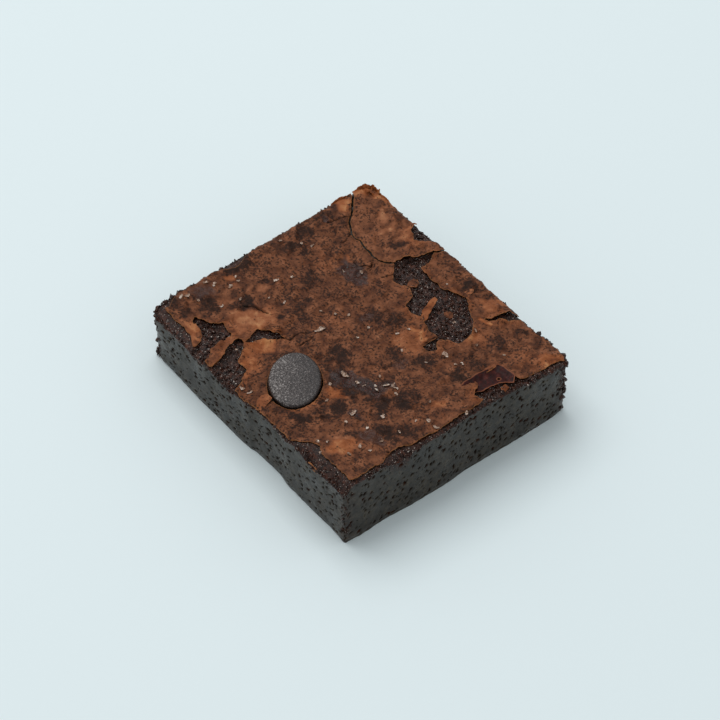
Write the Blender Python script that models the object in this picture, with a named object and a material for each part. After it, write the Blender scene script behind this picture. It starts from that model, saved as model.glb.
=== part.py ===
"""Chocolate brownie: one slab of fudge crumb cut from a tray, with a chocolate button baked into its top.

Metres, +Z up. The origin is the middle of the flat underside, and +X runs along the longer pair of cut sides.
Slab corners are named by compass: south is -Y, north is +Y, west is -X and east is +X.
"""
import math

import bmesh
import bpy
import numpy as np
from mathutils import Matrix, Vector

MM = 0.001

# Slab: overall size, and the height of its top along each edge, from that edge's west or south end to the other
SLAB_LENGTH = 80.8 * MM
SLAB_WIDTH = 71.6 * MM
SOUTH_EDGE_STATIONS = (0.00, 0.10, 0.22, 0.31, 0.39, 0.47, 0.64, 0.70, 0.77, 0.87, 1.00)
SOUTH_EDGE_HEIGHTS = (15.6, 15.2, 15.5, 16.4, 15.9, 16.6, 17.0, 17.8, 19.2, 20.2, 20.9)
NORTH_EDGE_STATIONS = (0.00, 0.15, 0.38, 0.50, 0.62, 0.80, 1.00)
NORTH_EDGE_HEIGHTS = (17.4, 17.0, 17.8, 18.1, 17.9, 17.6, 18.6)
WEST_EDGE_STATIONS = (0.00, 0.12, 0.35, 0.70, 1.00)
WEST_EDGE_HEIGHTS = (15.6, 16.5, 16.9, 16.9, 17.4)
EAST_EDGE_STATIONS = (0.00, 0.30, 0.60, 0.85, 1.00)
EAST_EDGE_HEIGHTS = (20.9, 20.9, 20.6, 19.9, 18.6)

# Corners: plan radius, how far each is broken away at its foot and how far at its top
CORNER_NAMES = ("south_west", "south_east", "north_east", "north_west")
CORNER_RADIUS = dict(south_west=2.6 * MM, south_east=0.9 * MM, north_east=2.4 * MM, north_west=2.0 * MM)
CORNER_FOOT_CHIP = dict(south_west=1.6 * MM, south_east=0.0, north_east=0.5 * MM, north_west=0.6 * MM)
CORNER_TOP_CRUMBLE = dict(south_west=0.3 * MM, south_east=0.0, north_east=1.9 * MM, north_west=0.3 * MM)
CORNER_REACH = 5.0 * MM

# Cut sides: how far the knife line wanders in from the overall box, lean, unevenness and the broken upper edge
SOUTH_INSET_STATIONS = (0.00, 0.08, 0.30, 0.50, 0.54, 0.64, 0.71, 0.90, 1.00)
SOUTH_INSETS = (1.9, 1.9, 1.2, 1.0, 1.5, 1.5, 0.7, 0.4, 0.0)
EAST_INSET_STATIONS = (0.00, 0.08, 0.20, 0.32, 0.42, 0.57, 0.90, 1.00)
EAST_INSETS = (0.4, 0.1, 0.4, 0.0, 0.0, 0.6, 0.6, 0.9)
EAST_LEAN = 0.6 * MM
OTHER_LEAN = 0.15 * MM
SIDE_WOBBLE = 0.4 * MM
SIDE_UNEVENNESS = 0.30 * MM
FOOT_TUCK = 0.35 * MM
EDGE_DROP = 0.5 * MM
EDGE_BAND = 1.5 * MM
SOUTH_SHOULDER = (18.0, 27.0, 2.6, 3.2)  # from x, full by x, drop, width of the sloping band of torn crumb
EAST_GOUGE = (-18.0, 6.0, 1.6, 2.2)  # middle y, half length, drop, width

# Crust: slow swells, the bare patches where it has flaked off, and the plate lifted beyond the long crack
SWELL_HEIGHT = 0.22 * MM
SWELL_LENGTH = 14.0 * MM
BARE_DEPTH = 0.8 * MM
BARE_LIP = 0.25 * MM
BARE_PATCHES = (  # centre x, centre y, half length, half width, turn in degrees
    (-8.0, 24.0, 5.0, 4.2, 70.0),
    (3.0, 20.0, 6.5, 5.6, 0.0),
    (12.5, 20.5, 6.2, 6.2, 0.0),
    (-22.5, -27.5, 6.8, 4.2, -55.0),
    (-11.5, -29.5, 6.2, 3.4, -48.0),
    (-16.5, 35.0, 4.6, 4.0, 0.0),
    (34.5, 13.0, 3.0, 6.6, -12.0),
)
CRACK_X = (-40.4, -36.0, -30.0, -24.0, -18.0, -13.0)
CRACK_Y = (29.5, 27.0, 21.8, 20.9, 20.2, 23.0)
PLATE_LIFT = 0.35 * MM

# Chocolate button: an oval drop with a flat face, leaning to the south-east, sunk into the crust
BUTTON_ACROSS = 13.4 * MM
BUTTON_LONG = 16.6 * MM
BUTTON_THICK = 3.0 * MM
BUTTON_RIM_RADIUS = 0.9 * MM
BUTTON_CROWN = 0.15 * MM
BUTTON_FACE_CENTRE = Vector((3.25 * MM, -22.14 * MM, 19.45 * MM))
BUTTON_LEAN = math.radians(10.0)
BUTTON_LEAN_HEADING = math.radians(-38.5)
BUTTON_GAP = 0.3 * MM
MOUND_RISE = 1.2 * MM
MOUND_REACH = 5.0 * MM

# Fineness
CELLS_ALONG = 46
CELLS_ACROSS = 40
SIDE_ROWS = 6
RIM_STEPS = 4
ROUND_STEPS = 36


def remove_old_objects():
    for old in list(bpy.data.objects):
        bpy.data.objects.remove(old, do_unlink=True)


def smooth_step(t):
    """0 below t = 0, 1 above t = 1, and an S-shaped rise between."""
    t = np.clip(t, 0.0, 1.0)
    return t * t * (3.0 - 2.0 * t)


def smooth_profile(stations, heights, t):
    """Height at t from S-shaped steps between neighbouring stations, in metres."""
    stations = np.asarray(stations)
    heights = np.asarray(heights) * MM
    k = np.clip(np.searchsorted(stations, t, side="right") - 1, 0, len(stations) - 2)
    share = smooth_step((t - stations[k]) / (stations[k + 1] - stations[k]))
    return heights[k] + (heights[k + 1] - heights[k]) * share


def waves(x, y, length, seed, count=6):
    """Sum of plane sine waves of about one length in seeded directions, within about -1 to 1."""
    draw = np.random.default_rng(seed)
    total = np.zeros(np.broadcast(x, y).shape)
    for _ in range(count):
        heading = draw.uniform(0.0, math.tau)
        number = math.tau / (length * draw.uniform(0.7, 1.5))
        phase = draw.uniform(0.0, math.tau)
        total += np.sin(number * (x * math.cos(heading) + y * math.sin(heading)) + phase)
    return total / math.sqrt(count * 2.0)


def edge_crowded(count):
    """Stations from -1 to 1, closer together at the ends, where the slab's edges are."""
    s = np.linspace(-1.0, 1.0, count + 1)
    return 0.55 * s + 0.45 * np.sin(0.5 * math.pi * s)


def corner_points():
    half_length = SLAB_LENGTH / 2
    half_width = SLAB_WIDTH / 2
    return dict(
        south_west=(-half_length, -half_width),
        south_east=(half_length, -half_width),
        north_east=(half_length, half_width),
        north_west=(-half_length, half_width),
    )


def round_corners(x, y):
    """Pull each corner square of side r onto a quarter disc: offsets (a, b) shrink by max(a, b) / hypot(a, b)."""
    x, y = x.copy(), y.copy()
    for name, (corner_x, corner_y) in corner_points().items():
        r = CORNER_RADIUS[name]
        centre_x = corner_x - math.copysign(r, corner_x)
        centre_y = corner_y - math.copysign(r, corner_y)
        a = (x - centre_x) * math.copysign(1.0, corner_x)
        b = (y - centre_y) * math.copysign(1.0, corner_y)
        inside = (a > 0.0) & (b > 0.0)
        shrink = np.maximum(a, b) / np.maximum(np.hypot(a, b), 1e-9)
        x[inside] = centre_x + (x[inside] - centre_x) * shrink[inside]
        y[inside] = centre_y + (y[inside] - centre_y) * shrink[inside]
    return x, y


def south_inset(x):
    """How far the south side's knife line stands in from the overall box at x."""
    return smooth_profile(SOUTH_INSET_STATIONS, SOUTH_INSETS, x / SLAB_LENGTH + 0.5)


def east_inset(y):
    """How far the east side's knife line stands in from the overall box at y."""
    return smooth_profile(EAST_INSET_STATIONS, EAST_INSETS, y / SLAB_WIDTH + 0.5)


def knife_lines(x, y):
    """Shift the plan so that its south and east sides follow the knife lines, fading out to the far sides."""
    shifted_x = x - east_inset(y) * (0.5 + x / SLAB_LENGTH)
    shifted_y = y + south_inset(x) * (0.5 - y / SLAB_WIDTH)
    return shifted_x, shifted_y


def nearness(x, y, name):
    """1 at the named corner, falling to 0 at CORNER_REACH from it."""
    corner_x, corner_y = corner_points()[name]
    return smooth_step(1.0 - np.hypot(x - corner_x, y - corner_y) / CORNER_REACH)


def top_height(x, y):
    """Height of the crust: a Coons patch over the four edge profiles, then swells, lift, bare patches and edges."""
    u = np.clip(x / SLAB_LENGTH + 0.5, 0.0, 1.0)
    v = np.clip(y / SLAB_WIDTH + 0.5, 0.0, 1.0)
    south = smooth_profile(SOUTH_EDGE_STATIONS, SOUTH_EDGE_HEIGHTS, u)
    north = smooth_profile(NORTH_EDGE_STATIONS, NORTH_EDGE_HEIGHTS, u)
    west = smooth_profile(WEST_EDGE_STATIONS, WEST_EDGE_HEIGHTS, v)
    east = smooth_profile(EAST_EDGE_STATIONS, EAST_EDGE_HEIGHTS, v)
    south_line = (SOUTH_EDGE_HEIGHTS[0] * (1.0 - u) + SOUTH_EDGE_HEIGHTS[-1] * u) * MM
    north_line = (NORTH_EDGE_HEIGHTS[0] * (1.0 - u) + NORTH_EDGE_HEIGHTS[-1] * u) * MM
    z = south * (1.0 - v) + north * v + west * (1.0 - u) + east * u
    z -= south_line * (1.0 - v) + north_line * v

    z += SWELL_HEIGHT * waves(x, y, SWELL_LENGTH, seed=3)
    beyond_crack = y - np.interp(x, np.array(CRACK_X) * MM, np.array(CRACK_Y) * MM)
    west_of_crack_end = smooth_step((CRACK_X[-1] * MM - x) / (4.0 * MM) + 0.5)
    z += PLATE_LIFT * smooth_step(beyond_crack / (1.5 * MM) + 0.5) * west_of_crack_end

    for centre_x, centre_y, half_length, half_width, turn in BARE_PATCHES:
        c, s = math.cos(math.radians(turn)), math.sin(math.radians(turn))
        dx, dy = x / MM - centre_x, y / MM - centre_y
        away = np.hypot((c * dx + s * dy) / half_length, (c * dy - s * dx) / half_width)
        z -= BARE_DEPTH * smooth_step((1.15 - away) / 0.3)
        z += BARE_LIP * np.exp(-(((away - 1.25) / 0.18) ** 2))

    face = BUTTON_FACE_CENTRE
    far_x = face.x - 0.45 * BUTTON_LONG * math.cos(BUTTON_LEAN_HEADING)
    far_y = face.y - 0.45 * BUTTON_LONG * math.sin(BUTTON_LEAN_HEADING)
    z += MOUND_RISE * np.exp(-(((x - far_x) ** 2 + (y - far_y) ** 2) / MOUND_REACH**2))

    from_south = SLAB_WIDTH / 2 + y - south_inset(x)
    from_east = SLAB_LENGTH / 2 - x - east_inset(y)
    inward = np.minimum(np.minimum(from_south, from_east), SLAB_LENGTH / 2 + x)
    inward = np.minimum(inward, SLAB_WIDTH / 2 - y)
    z -= EDGE_DROP * (1.0 - smooth_step(inward / EDGE_BAND)) ** 2
    start, full, drop, width = (value * MM for value in SOUTH_SHOULDER)
    along = smooth_step((x - start) / (full - start))
    z -= drop * along * (1.0 - smooth_step(from_south / width)) ** 1.5
    middle, half_length, drop, width = (value * MM for value in EAST_GOUGE)
    along = smooth_step(1.0 - np.abs(y - middle) / half_length)
    z -= drop * along * (1.0 - smooth_step(from_east / width))
    for name in CORNER_NAMES:
        z -= CORNER_TOP_CRUMBLE[name] * nearness(x, y, name)
    return z


def slab_ring_numbers(columns, rows):
    """Indices of the top grid's outermost points, anticlockwise seen from above."""
    grid = np.arange(columns * rows).reshape(columns, rows)
    return np.concatenate([grid[:-1, 0], grid[-1, :-1], grid[:0:-1, -1], grid[0, :0:-1]])


def brownie_mesh():
    """Top grid, side rows that hang from its outermost ring, and one flat face underneath."""
    s, t = np.meshgrid(edge_crowded(CELLS_ALONG), edge_crowded(CELLS_ACROSS), indexing="ij")
    x, y = knife_lines(*round_corners(s * SLAB_LENGTH / 2, t * SLAB_WIDTH / 2))
    top = np.stack([x, y, top_height(x, y)], axis=-1).reshape(-1, 3)

    ring = slab_ring_numbers(*x.shape)
    rim = top[ring]
    along = np.roll(rim, -1, axis=0) - np.roll(rim, 1, axis=0)
    outward = np.stack([along[:, 1], -along[:, 0]], axis=1)
    outward /= np.linalg.norm(outward, axis=1, keepdims=True)
    faces_south = np.clip(-outward[:, 1], 0.0, 1.0)
    faces_east = np.clip(outward[:, 0], 0.0, 1.0)
    wobble = SIDE_WOBBLE * (0.5 + 0.5 * waves(rim[:, 0], rim[:, 1], 11.0 * MM, seed=5))
    wobble *= 1.0 - np.maximum(faces_south, faces_east)
    lean = EAST_LEAN * faces_east + OTHER_LEAN * (1.0 - faces_east)
    foot_chip = sum(CORNER_FOOT_CHIP[name] * nearness(rim[:, 0], rim[:, 1], name) for name in CORNER_NAMES)

    rows = []
    for share in np.linspace(0.0, 1.0, SIDE_ROWS + 1):  # 0 at the crust, 1 at the foot
        z = rim[:, 2] * (1.0 - share)
        bumps = 0.5 + 0.5 * waves(rim[:, 0] + rim[:, 1], 1.7 * z, 7.0 * MM, seed=7)
        pulled_in = wobble + lean * (1.0 - share) + foot_chip * smooth_step(share)
        pulled_in = pulled_in + SIDE_UNEVENNESS * bumps * math.sin(math.pi * share)
        pulled_in = pulled_in + FOOT_TUCK * smooth_step((share - 0.85) / 0.15)
        rows.append(np.column_stack([rim[:, :2] - outward * pulled_in[:, None], z]))
    top[ring] = rows[0]
    points = np.concatenate([top] + rows[1:])

    middle = (points[:, :2].max(axis=0) + points[:, :2].min(axis=0)) / 2
    extent = points[:, :2].max(axis=0) - points[:, :2].min(axis=0)
    points[:, :2] = (points[:, :2] - middle) * np.array([SLAB_LENGTH, SLAB_WIDTH]) / extent

    columns, across = x.shape
    grid = np.arange(columns * across).reshape(columns, across)
    faces = np.stack([grid[:-1, :-1], grid[1:, :-1], grid[1:, 1:], grid[:-1, 1:]], axis=-1).reshape(-1, 4).tolist()
    upper = ring
    for row in range(SIDE_ROWS):
        lower = len(top) + row * len(ring) + np.arange(len(ring))
        side = np.stack([upper, lower, np.roll(lower, -1), np.roll(upper, -1)], axis=1)
        faces += side.tolist()
        upper = lower
    faces.append(upper[::-1].tolist())

    mesh = bpy.data.meshes.new("brownie")
    mesh.from_pydata(points.tolist(), [], faces)
    mesh.validate()
    return mesh


def button_profile(grow, raise_top):
    """Half outline of the button from its lower pole to its upper pole, as (share of radius, height) pairs.

    The rim is a half round top and bottom; grow widens the outline on every side and raise_top lifts its upper half.
    """
    radius = BUTTON_ACROSS / 2 + grow
    low = -BUTTON_THICK - grow
    high = grow + raise_top
    r = BUTTON_RIM_RADIUS
    outline = [(0.0, low)]
    for step in range(RIM_STEPS + 1):
        angle = -math.pi / 2 + step * math.pi / 2 / RIM_STEPS
        outline.append((radius - r + r * math.cos(angle), low + r + r * math.sin(angle)))
    for step in range(RIM_STEPS + 1):
        angle = step * math.pi / 2 / RIM_STEPS
        outline.append((radius - r + r * math.cos(angle), high - r + r * math.sin(angle)))
    outline.append((0.5 * (radius - r), high + 0.75 * BUTTON_CROWN))
    outline.append((0.0, high + BUTTON_CROWN))
    return outline


def button_mesh(name, grow=0.0, raise_top=0.0):
    """The outline spun round the button's own axis, then drawn out along its longer way."""
    bm = bmesh.new()
    corners = [bm.verts.new((r, 0.0, z)) for r, z in button_profile(grow, raise_top)]
    edges = [bm.edges.new(pair) for pair in zip(corners, corners[1:])]
    bmesh.ops.spin(
        bm, geom=corners + edges, cent=(0, 0, 0), axis=(0, 0, 1), angle=math.tau, steps=ROUND_STEPS, use_merge=True
    )
    bmesh.ops.remove_doubles(bm, verts=bm.verts, dist=1e-6)
    stretch = (BUTTON_LONG + 2 * grow) / (BUTTON_ACROSS + 2 * grow)
    bmesh.ops.scale(bm, vec=(stretch, 1.0, 1.0), verts=bm.verts)
    bmesh.ops.recalc_face_normals(bm, faces=bm.faces)
    mesh = bpy.data.meshes.new(name)
    bm.to_mesh(mesh)
    bm.free()
    return mesh


def button_place():
    """Local +X runs down the slope of the leaning face, and local +Z is the face's normal."""
    heading = Matrix.Rotation(BUTTON_LEAN_HEADING, 4, "Z")
    lean = Matrix.Rotation(BUTTON_LEAN, 4, "Y")
    return Matrix.Translation(BUTTON_FACE_CENTRE) @ heading @ lean


def finish_material(name, colour, roughness, coat=0.0):
    material = bpy.data.materials.new(name)
    material.use_nodes = True
    surface = material.node_tree.nodes["Principled BSDF"]
    surface.inputs["Base Color"].default_value = (*colour, 1.0)
    surface.inputs["Roughness"].default_value = roughness
    surface.inputs["Metallic"].default_value = 0.0
    surface.inputs["Coat Weight"].default_value = coat
    material.diffuse_color = (*colour, 1.0)
    return material


def add_object(name, mesh, material, place=None):
    thing = bpy.data.objects.new(name, mesh)
    bpy.context.collection.objects.link(thing)
    thing.matrix_world = place or Matrix.Identity(4)
    if material:
        mesh.materials.append(material)
    mesh.shade_smooth()
    mesh.set_sharp_from_angle(angle=math.radians(40.0))
    return thing


remove_old_objects()

crust_and_crumb = finish_material("baked_brownie_crust", (0.105, 0.048, 0.030), 0.6)
dark_chocolate = finish_material("dark_chocolate", (0.045, 0.028, 0.022), 0.35, coat=0.2)

brownie = add_object("brownie", brownie_mesh(), crust_and_crumb)
button = add_object("chocolate_button", button_mesh("chocolate_button"), dark_chocolate, button_place())

pocket = add_object(
    "button_pocket_cutter",
    button_mesh("button_pocket_cutter", grow=BUTTON_GAP, raise_top=2.0 * MM),
    None,
    button_place(),
)
pocket.hide_render = True
pocket.display_type = "WIRE"

pocket_cut = brownie.modifiers.new("button_pocket", "BOOLEAN")
pocket_cut.operation = "DIFFERENCE"
pocket_cut.solver = "EXACT"
pocket_cut.object = pocket
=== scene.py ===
import math

import bpy
import numpy as np
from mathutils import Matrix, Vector


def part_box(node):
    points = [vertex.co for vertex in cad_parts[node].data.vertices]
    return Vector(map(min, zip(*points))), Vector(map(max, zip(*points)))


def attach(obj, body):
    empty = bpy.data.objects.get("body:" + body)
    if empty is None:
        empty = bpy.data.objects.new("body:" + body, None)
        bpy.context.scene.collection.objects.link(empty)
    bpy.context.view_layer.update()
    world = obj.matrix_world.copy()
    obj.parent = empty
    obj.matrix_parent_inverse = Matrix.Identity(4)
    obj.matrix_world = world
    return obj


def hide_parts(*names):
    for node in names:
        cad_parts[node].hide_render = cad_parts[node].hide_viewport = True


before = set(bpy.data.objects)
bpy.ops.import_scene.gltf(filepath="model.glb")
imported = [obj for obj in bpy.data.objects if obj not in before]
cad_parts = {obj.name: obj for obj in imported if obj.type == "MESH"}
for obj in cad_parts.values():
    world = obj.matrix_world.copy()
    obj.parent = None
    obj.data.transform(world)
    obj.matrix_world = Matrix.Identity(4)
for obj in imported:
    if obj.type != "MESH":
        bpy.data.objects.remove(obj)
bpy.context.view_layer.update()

# ---------------------------------------------------------------------------------------------------------------
# Crumb. The slab is dense, moist fudge crumb, baked in a tray and cut with a knife, so its sides are smooth and
# dark with slanting pits, and it is torn and grainy where the crust has come away and along its upper edges.
# Sizes are millimetres; sides are named south (-Y), east (+X), north (+Y) and west (-X).
# ---------------------------------------------------------------------------------------------------------------
MM = 0.001
slab_low, slab_high = (np.array(corner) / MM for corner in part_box("brownie"))
LENGTH, WIDTH = (slab_high - slab_low)[:2]

# Height of the top along each edge, from the edge's west or south end (0) to the other (1)
SOUTH_EDGE = (
    (0.00, 0.10, 0.22, 0.31, 0.39, 0.47, 0.64, 0.70, 0.77, 0.87, 1.00),
    (15.6, 15.2, 15.5, 16.4, 15.9, 16.6, 17.0, 17.8, 19.2, 20.2, 20.9),
)
NORTH_EDGE = ((0.00, 0.15, 0.38, 0.50, 0.62, 0.80, 1.00), (17.4, 17.0, 17.8, 18.1, 17.9, 17.6, 18.6))
WEST_EDGE = ((0.00, 0.12, 0.35, 0.70, 1.00), (15.6, 16.5, 16.9, 16.9, 17.4))
EAST_EDGE = ((0.00, 0.30, 0.60, 0.85, 1.00), (20.9, 20.9, 20.6, 19.9, 18.6))
SOUTH_INSET = ((0.00, 0.08, 0.30, 0.50, 0.54, 0.64, 0.71, 0.90, 1.00), (1.9, 1.9, 1.2, 1.0, 1.5, 1.5, 0.7, 0.4, 0.0))
EAST_INSET = ((0.00, 0.08, 0.20, 0.32, 0.42, 0.57, 0.90, 1.00), (0.4, 0.1, 0.4, 0.0, 0.0, 0.6, 0.6, 0.9))
CORNERS = (  # side of the middle in x and in y, plan radius, broken away at the foot, crumbled off the top
    (-1, -1, 2.6, 1.6, 0.3),
    (1, -1, 0.9, 0.0, 0.0),
    (1, 1, 2.4, 0.5, 1.9),
    (-1, 1, 2.0, 0.6, 0.3),
)
CORNER_REACH = 5.0
SHOULDER = (18.0, 27.0, 2.6, 3.2)  # torn band along the south edge: from x, full by x, drop, width
GOUGE = (-18.0, 6.0, 1.6, 2.2)  # torn dip in the east edge: middle y, half length, drop, width

# Outlines of the places where the crust has flaked off and taken some crumb with it
LONG_BARE_PATCH = (
    (-9.9, 32.3), (-8.5, 30.5), (-7.7, 26.4), (-3.0, 25.5), (2.4, 26.2), (7.4, 28.9), (11.1, 26.6), (14.8, 25.2),
    (18.5, 21.4), (18.5, 17.3), (15.4, 14.8), (10.6, 14.3), (6.0, 16.0), (3.4, 14.4), (0.3, 15.2), (-1.2, 19.0),
    (-4.0, 19.8), (-9.0, 18.6), (-12.0, 21.5), (-13.8, 23.3), (-12.0, 27.6), (-10.3, 29.8),
)
SOUTH_WEST_PATCH = (
    (-24.5, -22.8), (-22.6, -23.5), (-20.0, -23.9), (-19.7, -26.5), (-19.7, -30.5), (-17.6, -33.0), (-17.6, -37.0),
    (-24.0, -37.0), (-23.4, -31.8), (-23.9, -30.3), (-25.3, -29.2), (-28.2, -28.4), (-30.2, -28.3), (-31.0, -27.1),
    (-29.5, -26.3), (-26.7, -25.4), (-25.6, -23.9),
)
SOUTH_PATCH = (
    (-17.9, -23.7), (-15.8, -23.4), (-14.2, -24.6), (-12.9, -26.4), (-11.9, -28.2), (-10.9, -28.3), (-8.7, -27.9),
    (-7.7, -29.8), (-6.0, -31.8), (-5.2, -33.6), (-5.2, -37.0), (-15.0, -37.0), (-14.6, -33.4), (-15.0, -31.0),
    (-16.4, -28.3), (-17.4, -26.0),
)
LEAF_GAP = (
    (-10.2, -14.5), (-12.6, -15.0), (-15.0, -16.3), (-17.2, -18.3), (-17.0, -19.7), (-16.2, -21.3), (-15.5, -23.1),
    (-14.9, -21.9), (-14.4, -20.2), (-13.4, -18.6), (-12.0, -17.2), (-10.9, -16.2),
)
NORTH_NOTCH = (
    (-21.0, 38.0), (-20.4, 34.8), (-19.6, 33.2), (-18.2, 32.5), (-16.3, 31.0), (-15.1, 31.6), (-14.8, 33.2),
    (-13.4, 35.0), (-13.0, 38.0),
)
NORTH_EAST_SLOT = (
    (18.0, 34.2), (20.0, 34.6), (21.0, 38.0), (22.6, 38.0), (21.2, 33.6), (20.2, 32.0), (18.8, 31.0), (18.0, 29.2),
    (17.2, 28.2), (16.2, 27.9), (16.9, 29.2), (17.5, 30.6), (17.6, 32.6),
)
EAST_NICK = (
    (14.6, 15.0), (15.0, 13.2), (16.2, 12.2), (17.0, 11.8), (16.9, 10.6), (15.8, 9.8), (13.9, 9.8), (13.5, 12.9),
    (13.8, 15.0),
)
UNDER_RED_FLAKE = (
    (31.2, 19.5), (33.5, 20.4), (38.8, 20.6), (39.0, 17.0), (39.2, 11.0), (38.4, 8.6), (36.6, 8.0), (35.4, 9.0),
    (33.0, 12.0), (31.5, 16.0),
)
# Outline of the plate behind the long crack, which runs along its south side
BACK_PLATE = (
    (-46.0, 32.2), (-38.7, 29.4), (-37.0, 27.9), (-35.3, 26.5), (-33.9, 25.0), (-32.3, 23.1), (-30.0, 21.9),
    (-28.7, 21.0), (-27.3, 20.6), (-25.5, 21.3), (-24.2, 20.9), (-23.1, 20.5), (-20.3, 20.4), (-18.1, 19.9),
    (-16.4, 20.3), (-15.0, 21.3), (-13.0, 23.0), (-11.0, 29.0), (-9.4, 33.0), (-8.5, 40.0), (-46.0, 40.0),
)
BARE_OUTLINES = (
    LONG_BARE_PATCH, SOUTH_WEST_PATCH, SOUTH_PATCH, LEAF_GAP,
    NORTH_NOTCH, NORTH_EAST_SLOT, EAST_NICK, UNDER_RED_FLAKE,
)

# The chocolate button's seat: middle of its face, half sizes, thickness, lean and the compass heading of the lean
BUTTON_CENTRE = np.array([3.25, -22.14, 19.45])
BUTTON_HALF_LONG, BUTTON_HALF_ACROSS, BUTTON_THICK = 8.3, 6.7, 3.0
BUTTON_LEAN, BUTTON_HEADING = math.radians(10.0), math.radians(-38.5)
MOUND_RISE, MOUND_REACH = 1.2, 5.0

CRUST_REACH = 0.15  # how far in from the cut sides the crust ends, before the raggedness
CRUMB_BELOW_CRUST = 0.5
BARE_DEPTH = 0.55
TORN_GRAIN = 0.34
SIDE_UNEVENNESS = 0.30
SIDE_LEAN = 0.15
EAST_LEAN = 0.45
FOOT_TUCK = 0.35
PIT_DEPTH = 0.42
PIT_SPACING = (1.9, 1.2)  # along and across the slanting pits
CRUMB_CELLS = (176, 156)
SIDE_ROWS = 52
UNDERSIDE_ROWS = 12


def smooth_step(t):
    """0 below t = 0, 1 above t = 1, and the S-shaped rise 3t^2 - 2t^3 between."""
    t = np.clip(t, 0.0, 1.0)
    return t * t * (3.0 - 2.0 * t)


def along_edge(profile, t):
    """Value at t of a profile (stations, values), with an S-shaped step from each station to the next."""
    stations, values = np.array(profile[0]), np.array(profile[1])
    k = np.clip(np.searchsorted(stations, t, side="right") - 1, 0, len(stations) - 2)
    share = smooth_step((t - stations[k]) / (stations[k + 1] - stations[k]))
    return values[k] + (values[k + 1] - values[k]) * share


def crumple(x, y, z, length, seed, octaves=1):
    """Gradient noise about -1 to 1: random slopes at the corners of a cubic lattice of the given length, blended
    by the fade 6t^5 - 15t^4 + 10t^3; each further octave is half as long and adds half as much."""
    draw = np.random.default_rng(seed)
    order = draw.permutation(256)
    slopes = draw.normal(size=(256, 3))
    slopes /= np.linalg.norm(slopes, axis=1, keepdims=True)
    x, y, z = np.broadcast_arrays(x, y, z)
    total = np.zeros(x.shape)
    for octave in range(octaves):
        p = np.stack([x, y, z], axis=-1) * (2.0**octave / length) + 31.7 * octave
        cell = np.floor(p).astype(int)
        f = p - cell
        fade = f * f * f * (f * (f * 6.0 - 15.0) + 10.0)
        for corner in np.ndindex(2, 2, 2):
            c = (cell + corner) & 255
            pick = order[(order[(order[c[..., 0]] + c[..., 1]) & 255] + c[..., 2]) & 255]
            weight = np.where(corner, fade, 1.0 - fade).prod(axis=-1)
            total += 1.7 * weight * ((f - corner) * slopes[pick]).sum(axis=-1) / 2.0**octave
    return total


def scattered(x, y, spacing, seed):
    """Distance to the nearest of a set of centres, one thrown at random into each square cell of unit size after
    x and y are divided by the spacing, with that centre's own random number from 0 to 1."""
    draw = np.random.default_rng(seed)
    order = draw.permutation(256)
    throw = draw.random((256, 3))
    px, py = x / spacing[0], y / spacing[1]
    cell_x, cell_y = np.floor(px).astype(int), np.floor(py).astype(int)
    nearest, number = np.full(px.shape, 9.0), np.zeros(px.shape)
    for step_x in (-1, 0, 1):
        for step_y in (-1, 0, 1):
            pick = order[(order[(cell_x + step_x) & 255] + cell_y + step_y) & 255]
            away = np.hypot(cell_x + step_x + throw[pick, 0] - px, cell_y + step_y + throw[pick, 1] - py)
            closer = away < nearest
            nearest = np.where(closer, away, nearest)
            number = np.where(closer, throw[pick, 2], number)
    return nearest, number


def from_line(x, y, points, closed):
    """Distance to a line of straight stretches; for a closed one it is negative inside."""
    start = np.array(points, float)
    end = np.roll(start, -1, axis=0)
    if not closed:
        start, end = start[:-1], end[:-1]
    nearest = np.full(np.shape(x), 1e9)
    crossings = np.zeros(np.shape(x), int)
    for (ax, ay), (bx, by) in zip(start, end):
        ex, ey = bx - ax, by - ay
        t = np.clip(((x - ax) * ex + (y - ay) * ey) / (ex * ex + ey * ey), 0.0, 1.0)
        nearest = np.minimum(nearest, np.hypot(x - ax - t * ex, y - ay - t * ey))
        if closed and ay != by:
            crossings += ((ay > y) != (by > y)) & (x < ax + (y - ay) * ex / ey)
    return np.where(crossings % 2 == 1, -nearest, nearest)


def in_spot(x, y, spot):
    """1 well inside an oval spot (x, y, half length, half width, turn in degrees), 0 from its outline out."""
    middle_x, middle_y, half_length, half_width, turn = spot[:5]
    c, s = math.cos(math.radians(turn)), math.sin(math.radians(turn))
    dx, dy = x - middle_x, y - middle_y
    return smooth_step(1.7 - 1.7 * np.hypot((c * dx + s * dy) / half_length, (c * dy - s * dx) / half_width))


def plan(u, v):
    """Plan of the slab for u and v from -1 to 1: a rectangle whose corner squares are drawn in to quarter discs,
    with its south and east sides shifted on to the knife's lines."""
    x, y = u * LENGTH / 2, v * WIDTH / 2
    for side_x, side_y, radius, _, _ in CORNERS:
        centre_x, centre_y = side_x * (LENGTH / 2 - radius), side_y * (WIDTH / 2 - radius)
        a, b = (x - centre_x) * side_x, (y - centre_y) * side_y
        shrink = np.where((a > 0) & (b > 0), np.maximum(a, b) / np.maximum(np.hypot(a, b), 1e-9), 1.0)
        x, y = centre_x + (x - centre_x) * shrink, centre_y + (y - centre_y) * shrink
    inset_y = along_edge(SOUTH_INSET, x / LENGTH + 0.5)
    inset_x = along_edge(EAST_INSET, y / WIDTH + 0.5)
    return x - inset_x * (0.5 + x / LENGTH), y + inset_y * (0.5 - y / WIDTH)


def from_sides(x, y):
    """Distances in from the south, east, north and west sides."""
    south = WIDTH / 2 + y - along_edge(SOUTH_INSET, x / LENGTH + 0.5)
    east = LENGTH / 2 - x - along_edge(EAST_INSET, y / WIDTH + 0.5)
    return south, east, WIDTH / 2 - y, LENGTH / 2 + x


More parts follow.
